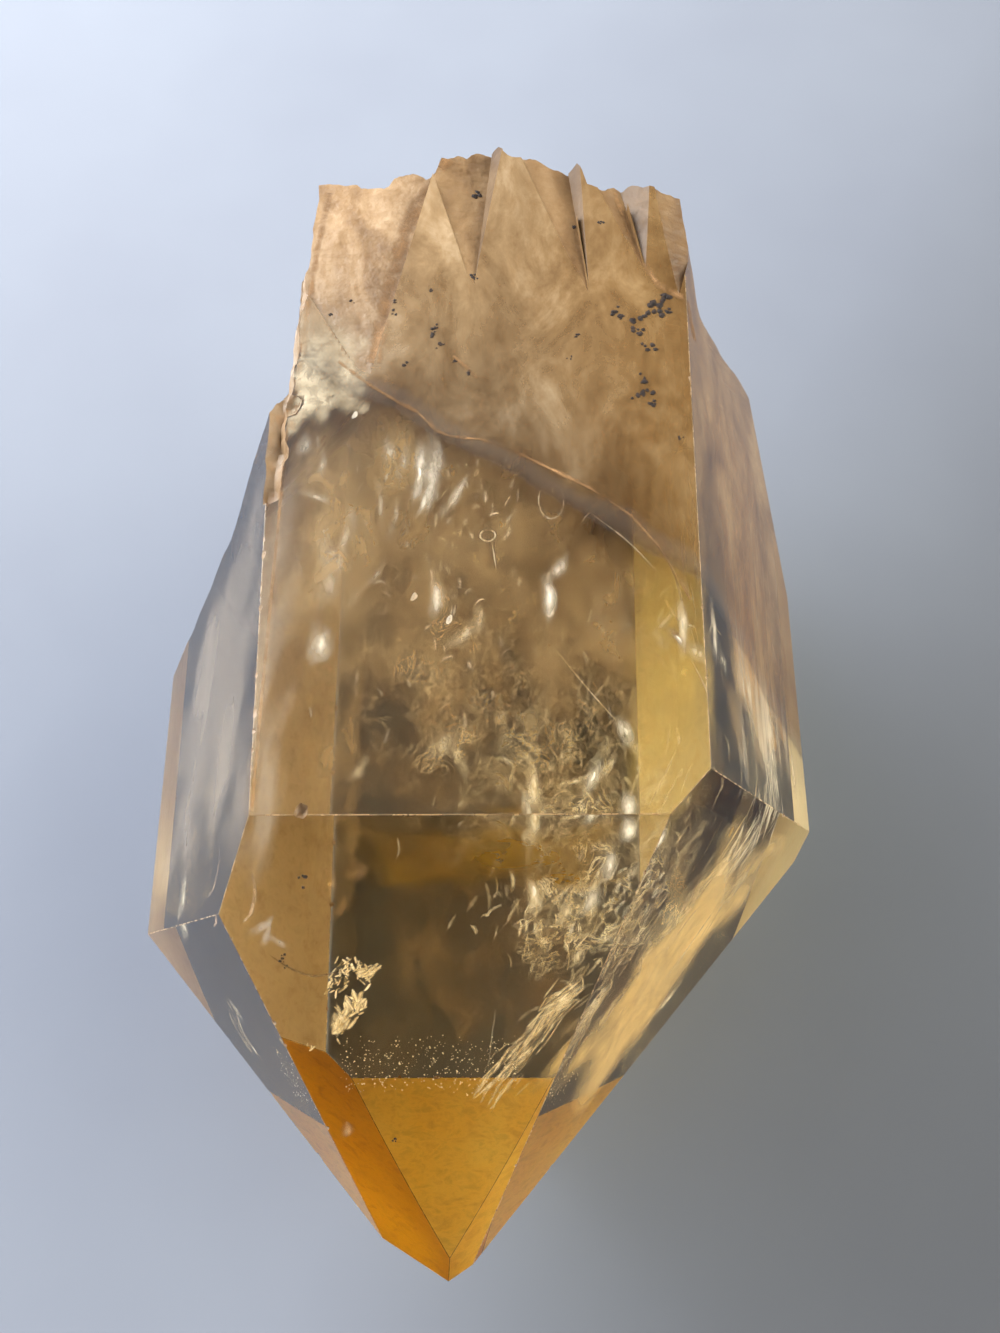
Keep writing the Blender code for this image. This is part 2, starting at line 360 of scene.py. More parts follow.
def edge_ends(first, second):
    """The two ends of the edge where two growth faces meet, from the front to the back."""
    mesh = block()
    for name in GROWTH_FACES:
        slice_away(mesh, *face_plane(name))
    wanted = [face_plane(name) for name in (first, second)]
    ends = None
    for edge in mesh.edges:
        if all(abs((vert.co - point).dot(normal)) < 1e-3 for vert in edge.verts for point, normal in wanted):
            ends = sorted((vert.co.copy() for vert in edge.verts), key=lambda place: place.y)
    mesh.free()
    return ends


def nick_cutter(materials):
    """One mesh of small rough lumps that bite into the edges, none touching another."""
    chance = random.Random(11)
    mesh = bmesh.new()
    taken = []
    spots = [(Vector(place), radius) for place, radius in PITS]
    for first, second, low, high, count, radius in NICKS:
        near, far = edge_ends(first, second)
        outward = (face_plane(first)[1] + face_plane(second)[1]).normalized()
        for index in range(count):
            share = low + (high - low) * (index + chance.random()) / count
            size = radius * (0.45 + 0.8 * chance.random() ** 2)
            spots.append((near.lerp(far, share) + outward * size * 0.55, size))
    for place, size in spots:
        if any((place - other).length < 1.5 * (size + reach) for other, reach in taken):
            continue
        taken.append((place, size))
        made = bmesh.ops.create_icosphere(mesh, subdivisions=2, radius=size)
        stretch = Vector((chance.uniform(0.7, 1.2), chance.uniform(0.8, 1.6), chance.uniform(0.7, 1.1)))
        for vertex in made["verts"]:
            rough = 1 + 0.35 * noise.noise(vertex.co * (1.6 / size) + place)
            vertex.co = place + Vector(a * b for a, b in zip(vertex.co * rough, stretch))
    return mesh_object("nick_cutter", mesh, materials, SLOT_BREAK)


def cut(item, cutter):
    """Takes the cutter's shape out of the crystal."""
    boolean = item.modifiers.new(cutter.name, "BOOLEAN")
    boolean.operation = "DIFFERENCE"
    boolean.solver = "EXACT"
    boolean.object = cutter


def to_row(item):
    """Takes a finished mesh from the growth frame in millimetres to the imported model's frame in metres."""
    item.data.transform(Matrix.Scale(MM, 4) @ Matrix.Translation(-ROW_ORIGIN))


def dress(item):
    """Makes a finished piece part of the crystal."""
    to_row(item)
    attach(item, BODY)
    return item


def crystal(materials):
    """The crystal itself."""
    item = growth_form(materials)
    cutters = [break_cutter(materials)]
    cutters += [ledge_cutter(name, corners, materials) for name, corners in TOP_LEDGES.items()]
    cutters += [
        scoop_cutter("left_scoop", LEFT_SCOOP, materials),
        scoop_cutter("right_scoop", RIGHT_SCOOP, materials),
        chip_cutter(materials),
        nick_cutter(materials),
    ]
    for cutter in cutters:
        cut(item, cutter)
    bake_modifiers(item)
    for cutter in cutters:
        bpy.data.objects.remove(cutter)
    mesh = bmesh.new()
    mesh.from_mesh(item.data)
    bmesh.ops.remove_doubles(mesh, verts=mesh.verts[:], dist=0.004)
    for face in mesh.faces:
        face.smooth = face.material_index == SLOT_BREAK
    for edge in mesh.edges:
        kinds = {face.material_index for face in edge.link_faces}
        edge.smooth = kinds == {SLOT_BREAK} and edge.calc_face_angle(0.0) < math.radians(32.0)
    mesh.to_mesh(item.data)
    mesh.free()
    return item


# Materials

def new_material(name):
    """A material with a node tree, its Principled shader and its output."""
    material = bpy.data.materials.new(name)
    material.use_nodes = True
    tree = material.node_tree
    return material, tree, tree.nodes["Principled BSDF"], tree.nodes["Material Output"]


def node(tree, kind, inputs=None, **settings):
    """Adds a node. inputs maps a socket's name or number to a value or to another node's output."""
    made = tree.nodes.new(kind)
    for name, value in settings.items():
        setattr(made, name, value)
    for name, value in (inputs or {}).items():
        if isinstance(value, bpy.types.NodeSocket):
            tree.links.new(value, made.inputs[name])
        else:
            made.inputs[name].default_value = value
    return made


def place_of(tree, stretch=(1.0, 1.0, 1.0)):
    """The place on the object in millimetres of the row frame, stretched."""
    where = node(tree, "ShaderNodeTexCoord").outputs["Object"]
    scale = tuple(1000.0 * part for part in stretch)
    return node(tree, "ShaderNodeMapping", {"Vector": where, "Scale": scale}).outputs["Vector"]


def noise_of(tree, where, scale, detail=3.0, rough=0.55, distortion=0.0):
    """A noise pattern, from 0 to 1."""
    return node(
        tree, "ShaderNodeTexNoise",
        {"Vector": where, "Scale": scale, "Detail": detail, "Roughness": rough, "Distortion": distortion},
    ).outputs["Fac"]


def ramp(tree, value, *stops):
    """A colour or grey ramp. Each stop is a place and a colour or a grey."""
    made = node(tree, "ShaderNodeValToRGB", {"Fac": value})
    elements = made.color_ramp.elements
    while len(elements) < len(stops):
        elements.new(0.5)
    for element, (place, colour) in zip(elements, stops):
        element.position = place
        element.color = (*colour, 1.0) if isinstance(colour, tuple) else (colour, colour, colour, 1.0)
    return made.outputs["Color"]


def mixed(tree, share, first, second, blend="MIX"):
    """Mixes two colours."""
    return node(
        tree, "ShaderNodeMix", {"Factor": share, 6: first, 7: second},
        data_type="RGBA", blend_type=blend, clamp_result=False,
    ).outputs[2]


def math_of(tree, operation, first, second=0.0, third=None):
    """One Math node."""
    inputs = {0: first, 1: second}
    if third is not None:
        inputs[2] = third
    return node(tree, "ShaderNodeMath", inputs, operation=operation).outputs[0]


def bump_of(tree, height, strength, distance):
    """A bump from a height pattern, with its distance in millimetres."""
    return node(
        tree, "ShaderNodeBump", {"Height": height, "Strength": strength, "Distance": distance * MM}
    ).outputs["Normal"]


def along(tree, low, high, across=0.0, lengthwise=1.0):
    """0 at one place and 1 at another of lengthwise * Y + across * X, both in the growth frame."""
    where = node(tree, "ShaderNodeTexCoord").outputs["Object"]
    value = node(
        tree, "ShaderNodeVectorMath", {0: where, 1: (across, lengthwise, 0.0)}, operation="DOT_PRODUCT"
    ).outputs["Value"]
    start = across * ROW_ORIGIN.x + lengthwise * ROW_ORIGIN.y
    return node(
        tree, "ShaderNodeMapRange",
        {
            "Value": value, "From Min": (low - start) * MM, "From Max": (high - start) * MM,
            "To Min": 0.0, "To Max": 1.0,
        },
    ).outputs["Result"]


ABSORPTION_COLOUR = (0.83, 0.66, 0.15, 1.0)
ABSORPTION_DENSITY = 14.0
QUARTZ_IOR = 1.544


def clear_quartz(tree, shader, output):
    """What all three of the crystal's materials share: the way quartz bends and absorbs light."""
    shader.inputs["IOR"].default_value = QUARTZ_IOR
    volume = node(
        tree, "ShaderNodeVolumeAbsorption", {"Color": ABSORPTION_COLOUR, "Density": ABSORPTION_DENSITY}
    )
    tree.links.new(volume.outputs["Volume"], output.inputs["Volume"])


def face_material(name, dullness, shine, relief, shade):
    """A growth face: clear, with faint growth lines and dull spots, and milky from the healed crack to the break. The
    milk carries painted light and shade: lighter at the left, towards the window, and darker at the right, and darker
    again on the ledge copies.
    """
    material, tree, shader, output = new_material(name)
    clear_quartz(tree, shader, output)
    tint = ramp(
        tree, along(tree, -36.0, 62.0),
        (0.0, (1.0, 0.86, 0.64)), (0.2, (1.0, 0.90, 0.74)), (0.38, (0.98, 0.93, 0.86)),
        (0.75, (0.97, 0.92, 0.87)), (1.0, (0.94, 0.86, 0.80)),
    )
    cloud = noise_of(tree, place_of(tree, (1.0, 0.45, 1.0)), 0.09, 4.0, 0.6, 0.6)
    clear = mixed(tree, 1.0, tint, ramp(tree, cloud, (0.35, 0.9), (0.65, 1.0)), "MULTIPLY")
    curd = noise_of(tree, place_of(tree, (1.0, 0.55, 1.0)), 0.16, 5.0, 0.62, 0.8)
    over_crack = ramp(
        tree, math_of(tree, "ADD", along(tree, 24.0, 54.0, 0.62), math_of(tree, "MULTIPLY_ADD", curd, 0.10, -0.05)),
        (0.12, 0.0), (0.22, 0.42), (0.5, 0.78), (0.8, 1.0),
    )
    left_of_gold = ramp(tree, along(tree, 6.0, 15.0, 1.0, 0.0), (0.0, 1.0), (1.0, 0.75))
    milk = math_of(tree, "MULTIPLY", over_crack, ramp(tree, curd, (0.30, 0.75), (0.62, 1.0)))
    milk = math_of(tree, "MULTIPLY", milk, left_of_gold)
    fleck = noise_of(tree, place_of(tree, (1.0, 0.6, 1.0)), 0.7, 6.0, 0.7, 0.4)
    thick = math_of(tree, "MULTIPLY_ADD", fleck, 0.35, math_of(tree, "MULTIPLY_ADD", curd, 0.75, -0.05))
    milky = ramp(
        tree, thick,
        (0.32, (0.17, 0.095, 0.035)), (0.5, (0.29, 0.19, 0.095)), (0.62, (0.38, 0.275, 0.165)), (0.74, (0.48, 0.385, 0.26)),
    )
    # Painted light and shade: the milk is lighter and bluer at the left, towards the window, and darker at the right.
    painted_light_and_shade = ramp(tree, along(tree, -14.0, 14.0, 1.0, 0.0), (0.0, (1.20, 1.22, 1.28)), (0.42, (0.96, 0.98, 1.0)), (0.62, (0.72, 0.70, 0.66)), (1.0, (0.72, 0.63, 0.46)))
    milky = mixed(tree, 1.0, milky, painted_light_and_shade, "MULTIPLY")
    # Painted shade: the ledge copies multiply the milk by a darker tint, to hold back the window light on their tilted
    # faces.
    milky = mixed(tree, 1.0, milky, shade, "MULTIPLY")
    tree.links.new(mixed(tree, ramp(tree, milk, (0.0, 0.0), (0.05, 0.75), (0.3, 1.0)), clear, milky), shader.inputs["Base Color"])
    scuff = noise_of(tree, place_of(tree), 0.55, 6.0, 0.7)
    dull = ramp(tree, scuff, (0.5, dullness[0]), (0.72, dullness[1]))
    tree.links.new(dull, shader.inputs["Roughness"])
    tree.links.new(math_of(tree, "MULTIPLY_ADD", milk, -0.78, 1.0), shader.inputs["Transmission Weight"])
    lines = noise_of(tree, place_of(tree, (0.12, 1.0, 0.12)), 0.8, 2.0, 0.5)
    grain = noise_of(tree, place_of(tree), 0.5, 4.0)
    height = math_of(tree, "MULTIPLY_ADD", lines, 0.6, grain)
    tree.links.new(bump_of(tree, height, *relief), shader.inputs["Normal"])
    shader.inputs["Specular IOR Level"].default_value = shine
    return material


def break_material():
    """A broken surface: milky and rough, pinkish to tan, with brown stain in its grain."""
    material, tree, shader, output = new_material("citrine_break")
    clear_quartz(tree, shader, output)
    where = place_of(tree)
    cloud = noise_of(tree, where, 0.14, 5.0, 0.6, 0.5)
    colour = ramp(
        tree, cloud,
        (0.28, (0.15, 0.085, 0.04)), (0.45, (0.21, 0.135, 0.07)), (0.62, (0.29, 0.20, 0.12)), (0.8, (0.42, 0.33, 0.22)),
    )
    stain = noise_of(tree, place_of(tree, (1.0, 0.5, 1.0)), 0.42, 6.0, 0.7)
    colour = mixed(tree, ramp(tree, stain, (0.56, 0.0), (0.70, 0.75)), colour, (0.30, 0.17, 0.08, 1.0))
    tree.links.new(colour, shader.inputs["Base Color"])
    tree.links.new(ramp(tree, cloud, (0.3, 0.42), (0.7, 0.2)), shader.inputs["Roughness"])
    tree.links.new(ramp(tree, cloud, (0.3, 0.10), (0.7, 0.30)), shader.inputs["Transmission Weight"])
    shader.inputs["Specular IOR Level"].default_value = 0.3
    grit = noise_of(tree, where, 1.1, 8.0, 0.7)
    tree.links.new(bump_of(tree, grit, 0.5, 0.25), shader.inputs["Normal"])
    return material


def film_material(name, colours, stain, clearness, rough, scale):
    """One of the lower faces: quartz under a thin uneven crust, mottled between two colours."""
    material, tree, shader, output = new_material(name)
    clear_quartz(tree, shader, output)
    drift = noise_of(tree, place_of(tree, (1.0, 0.7, 1.0)), scale, 5.0, 0.6, 0.6)
    film = ramp(tree, drift, (0.32, colours[0]), (0.68, colours[1]))
    rust = noise_of(tree, place_of(tree), 0.5, 7.0, 0.68, 0.4)
    film = mixed(tree, ramp(tree, rust, (0.50, 0.0), (0.68, 0.6)), film, stain)
    tree.links.new(film, shader.inputs["Base Color"])
    tree.links.new(
        ramp(tree, rust, (0.36, clearness[1]), (0.50, clearness[0])), shader.inputs["Transmission Weight"]
    )
    shader.inputs["Roughness"].default_value = rough
    tree.links.new(bump_of(tree, rust, 0.35, 0.12), shader.inputs["Normal"])
    return material


def edge_material():
    """A worn edge: a hair of dull, slightly brown quartz."""
    material, tree, shader, output = new_material("citrine_edge")
    clear_quartz(tree, shader, output)
    wear = noise_of(tree, place_of(tree), 0.9, 5.0, 0.7)
    colour = ramp(tree, wear, (0.4, (0.80, 0.64, 0.44)), (0.65, (0.42, 0.26, 0.12)))
    tree.links.new(colour, shader.inputs["Base Color"])
    tree.links.new(ramp(tree, wear, (0.35, 0.08), (0.65, 0.4)), shader.inputs["Roughness"])
    tree.links.new(ramp(tree, wear, (0.4, 0.95), (0.7, 0.4)), shader.inputs["Transmission Weight"])
    return material


def solid_material(name, colours, rough, grain, shine=0.5):
    """An inclusion that hides what is behind it, mottled between two colours."""
    material, tree, shader, _ = new_material(name)
    mottle = noise_of(tree, place_of(tree), grain, 4.0, 0.6)
    tree.links.new(ramp(tree, mottle, (0.35, colours[0]), (0.65, colours[1])), shader.inputs["Base Color"])
    tree.links.new(ramp(tree, mottle, (0.35, rough[0]), (0.65, rough[1])), shader.inputs["Roughness"])
    shader.inputs["Specular IOR Level"].default_value = shine
    return material


def strand_material(name, colours):
    """A strand or a glint: pale, fading out with its shape, and a little uneven."""
    material, tree, shader, _ = new_material(name)
    mottle = noise_of(tree, place_of(tree, (1.0, 0.4, 1.0)), 1.6, 4.0, 0.6)
    tree.links.new(ramp(tree, mottle, (0.35, colours[0]), (0.65, colours[1])), shader.inputs["Base Color"])
    rim = node(tree, "ShaderNodeAttribute", attribute_name="fade").outputs["Fac"]
    cover = math_of(tree, "MULTIPLY", ramp(tree, mottle, (0.3, 0.35), (0.62, 1.0)), rim)
    tree.links.new(cover, shader.inputs["Alpha"])
    shader.inputs["Roughness"].default_value = 0.3
    return material


def veil_material(name, colours, stretch, scale, low, high, most, distortion=0.8):
    """A thin cloud: wisps of small bubbles between clear gaps, fading out towards the sheet's rim."""
    material, tree, shader, _ = new_material(name)
    where = place_of(tree, stretch)
    wisps = noise_of(tree, where, scale, 7.0, 0.62, distortion)
    broad = noise_of(tree, where, scale * 0.3, 2.0)
    tree.links.new(ramp(tree, broad, (0.3, colours[0]), (0.7, colours[1])), shader.inputs["Base Color"])
    rim = node(tree, "ShaderNodeAttribute", attribute_name="fade").outputs["Fac"]
    cover = math_of(tree, "MULTIPLY", ramp(tree, wisps, (low, 0.0), (high, most)), rim)
    cover = math_of(tree, "MULTIPLY", cover, ramp(tree, broad, (0.3, 0.35), (0.6, 1.0)))
    tree.links.new(cover, shader.inputs["Alpha"])
    shader.inputs["Roughness"].default_value = 0.6
    shader.inputs["Specular IOR Level"].default_value = 0.1
    return material


def thread_material(name, colours, scale, thin, most):
    """A thin cloud of curling threads: the contour lines of a noise, broken into short lengths."""
    material, tree, shader, _ = new_material(name)
    where = place_of(tree, (1.0, 0.8, 1.0))
    field = noise_of(tree, where, scale, 4.0, 0.6, 1.8)
    line = math_of(tree, "ABSOLUTE", math_of(tree, "SUBTRACT", field, 0.5))
    thread = ramp(tree, line, (0.0, 1.0), (0.4 * thin, 0.5), (thin, 0.0))
    broken = noise_of(tree, where, 0.8 * scale, 5.0, 0.6)
    tree.links.new(ramp(tree, broken, (0.45, colours[0]), (0.62, colours[1])), shader.inputs["Base Color"])
    rim = node(tree, "ShaderNodeAttribute", attribute_name="fade").outputs["Fac"]
    cover = math_of(tree, "MULTIPLY", ramp(tree, broken, (0.44, 0.0), (0.60, most)), rim)
    tree.links.new(math_of(tree, "MULTIPLY", cover, thread), shader.inputs["Alpha"])
    shader.inputs["Roughness"].default_value = 0.4
    return material


# Inclusions

def skin_of(item):
    """The crystal's surface, for finding heights on it."""
    data = item.data
    return BVHTree.FromPolygons([vert.co.copy() for vert in data.vertices], [tuple(f.vertices) for f in data.polygons])


def on_skin(skin, x, y, lift=0.0):
    """The place on the crystal's upper side over x and y."""
    hit = skin.ray_cast(Vector((x, y, 70.0)), Vector((0.0, 0.0, -1.0)))[0]
    return (hit if hit is not None else Vector((x, y, top_height(y)))) + Vector((0.0, 0.0, lift))


def is_inside(place):
    """Whether a place lies inside the crystal, with a little to spare."""
    grown = all((place - point).dot(normal) < -0.3 for point, normal in map(face_plane, GROWTH_FACES))
    scooped = any(
        all((place - Vector(point)).dot(Vector(normal)) > -0.8 for point, normal in walls)
        for walls in (LEFT_SCOOP, RIGHT_SCOOP)
    )
    return grown and not scooped and place.y < break_reach(place.x, place.z) - 1.0


def faded_mesh():
    """A new bmesh with a layer that says how much of each place shows."""
    mesh = bmesh.new()
    return mesh, mesh.verts.layers.float.new("fade")


def surface_band(mesh, fade, skin, line, width, strength, lift=0.03):
    """A stain along a line on the upper side, which fades out to both sides."""
    points = []
    for one, two in zip(line, line[1:]):
        steps = max(1, round(math.dist(one, two) / 0.5))
        points += [Vector(one).lerp(Vector(two), step / steps) for step in range(steps)]
    points.append(Vector(line[-1]))
    rows = []
    for index, point in enumerate(points):
        heading = points[min(index + 1, len(points) - 1)] - points[max(index - 1, 0)]
        side = Vector((-heading.y, heading.x)).normalized()
        swell = 0.75 + 0.5 * noise.noise(Vector((point.x, point.y, 4.4)) * 0.9)
        middle = on_skin(skin, point.x, point.y, lift)
        row = []
        for share in (-1.0, -0.5, 0.0, 0.5, 1.0):
            for reach in (1.0, 0.6, 0.3, 0.1):
                spot = point + side * (share * reach * swell * width / 2)
                place = on_skin(skin, spot.x, spot.y, lift)
                if abs(place.z - middle.z) < 0.9:
                    break
            vertex = mesh.verts.new(place)
            vertex[fade] = strength * (1 - abs(share)) ** 0.6
            row.append(vertex)
        rows.append(row)
    join_rows(mesh, rows)


def join_rows(mesh, rows):
    """Smooth faces between rows of places."""
    for before, after in zip(rows, rows[1:]):
        for corners in zip(before, before[1:], after[1:], after):
            mesh.faces.new(corners).smooth = True


def grid_piece(name, material, place_rule, fade_rule, across=18, down=18):
    """A smooth sheet: one rule gives its places, and the other how much of each shows."""
    mesh, fade = faded_mesh()
    rows = []
    for i in range(across + 1):
        row = []
        for j in range(down + 1):
            u, v = i / across, j / down
            place = place_rule(u, v)
            vertex = mesh.verts.new(place)
            vertex[fade] = fade_rule(u, v, place)
            row.append(vertex)
        rows.append(row)
    join_rows(mesh, rows)
    return dress(mesh_object(name, mesh, [material]))


def between(corners, u, v):
    """A place between four corners given in turn."""
    one, two, three, four = corners
    return one.lerp(two, u).lerp(four.lerp(three, u), v)


def sheet(name, corners, material, bulge=0.0, ripple=0.0):
    """A thin curved sheet between four corners in turn, which fades towards its rim."""
    corners = [Vector(corner) for corner in corners]
    normal = (corners[1] - corners[0]).cross(corners[3] - corners[0]).normalized()

    def place_rule(u, v):
        place = between(corners, u, v)
        lift = bulge * (1 - (2 * u - 1) ** 2) * (1 - (2 * v - 1) ** 2)
        return place + normal * (lift + ripple * noise.noise(place / 6.0))

    def fade_rule(u, v, place):
        rim = min(u, 1 - u, v, 1 - v) * 2
        return smooth_step(rim + 0.35 * noise.noise(place / 3.5), 0.05, 0.6)

    return grid_piece(name, material, place_rule, fade_rule)


def frosted_patch(skin, material):
    """The whitish frosted patch by the left edge."""
    corners = [Vector(corner) for corner in FROST]

    def place_rule(u, v):
        spot = between(corners, u, v)
        return on_skin(skin, spot.x, spot.y, 0.04)

    def fade_rule(u, v, place):
        ragged = noise.noise(Vector((place.x, place.y, 2.0)) / 1.4)
        front = smooth_step(v + 0.10 * ragged, 0.04, 0.14)
        sides = smooth_step(u + 0.1 * ragged, 0.0, 0.1) * smooth_step(1 - u + 0.35 * ragged, 0.05, 0.5)
        return front * sides * (1 - v) ** 0.8

    return grid_piece("frosted_patch", material, place_rule, fade_rule, 26, 26)


def lens(mesh, centre, along_axis, facing, length, width, thickness, chance):
    """A small closed flake: a ragged almond, thick in the middle and sharp round its rim."""
    along_axis = along_axis.normalized()
    across = facing.cross(along_axis).normalized()
    up = along_axis.cross(across)
    count = 12
    rim = []
    for step in range(count):
        turn = 2 * math.pi * step / count
        ragged = 1 + chance.uniform(-0.16, 0.16)
        bend = 0.12 * length * math.cos(turn) ** 2
        rim.append(mesh.verts.new(
            centre + along_axis * (math.cos(turn) * length / 2 * ragged)
            + across * (math.sin(turn) * width / 2 * ragged + bend)
        ))
    high = mesh.verts.new(centre + up * thickness / 2)
    low = mesh.verts.new(centre - up * thickness / 2)
    for step in range(count):
        one, two = rim[step], rim[(step + 1) % count]
        mesh.faces.new((one, two, high))
        mesh.faces.new((two, one, low))


def ribbon(mesh, fade, points, width, facing, strength=1.0):
    """A soft strand: a strip that fades out to both sides and both ends."""
    rows = []
    last = len(points) - 1
    for index, point in enumerate(points):
        heading = (points[min(last, index + 1)] - points[max(0, index - 1)]).normalized()
        swell = math.sin(math.pi * (index + 0.5) / (last + 1))
        across = heading.cross(facing).normalized() * (width / 2) * (0.4 + 0.6 * swell)
        row = [mesh.verts.new(point + across * side) for side in (-1.0, 0.0, 1.0)]
        row[1][fade] = strength * min(1.0, 1.6 * swell) if 0 < index < last else 0.0
        rows.append(row)
    join_rows(mesh, rows)


def patch(mesh, fade, centre, heading, facing, length, width, strength=1.0):
    """A soft brush stroke: a ragged patch, brightest in its middle."""
    heading = heading.normalized()
    across = facing.cross(heading).normalized()
    up = heading.cross(across)
    rings, turns = 4, 16
    middle = mesh.verts.new(centre)
    middle[fade] = strength
    before = None
    for ring in range(1, rings + 1):
        share = ring / rings
        row = []
        for turn in range(turns):
            angle = 2 * math.pi * turn / turns
            u, v = math.cos(angle) * share, math.sin(angle) * share
            ragged = 1 + 0.3 * noise.noise(Vector((1.9 * u, 2.3 * v, centre.x + centre.y)))
            place = heading * (u * length / 2 * ragged) + across * (width / 2 * (v * ragged + 0.5 * u * u))
            vertex = mesh.verts.new(centre + place + up * (0.1 * width * (u * u + v * v)))
            vertex[fade] = strength * (1 - share) ** 1.4
            row.append(vertex)
        for turn in range(turns):
            after = (turn + 1) % turns
            if before is None:
                mesh.faces.new((middle, row[turn], row[after])).smooth = True
            else:
                mesh.faces.new((before[turn], row[turn], row[after], before[after])).smooth = True
        before = row


def wandering(start, heading, length, steps, curl, chance):
    """Points of a thread that sets off along heading and curls steadily as it goes."""
    points = [start]
    heading = heading.normalized()
    turning = Quaternion(Vector((chance.gauss(0, 0.5), chance.gauss(0, 0.5), 1.0)), chance.gauss(0, 1) * curl)
    for _ in range(steps):
        heading = turning @ heading
        drift = Vector((chance.gauss(0, 1), chance.gauss(0, 1), chance.gauss(0, 1))) * (0.25 * curl)
        heading = (heading + drift).normalized()
        points.append(points[-1] + heading * (length / steps))
    return points


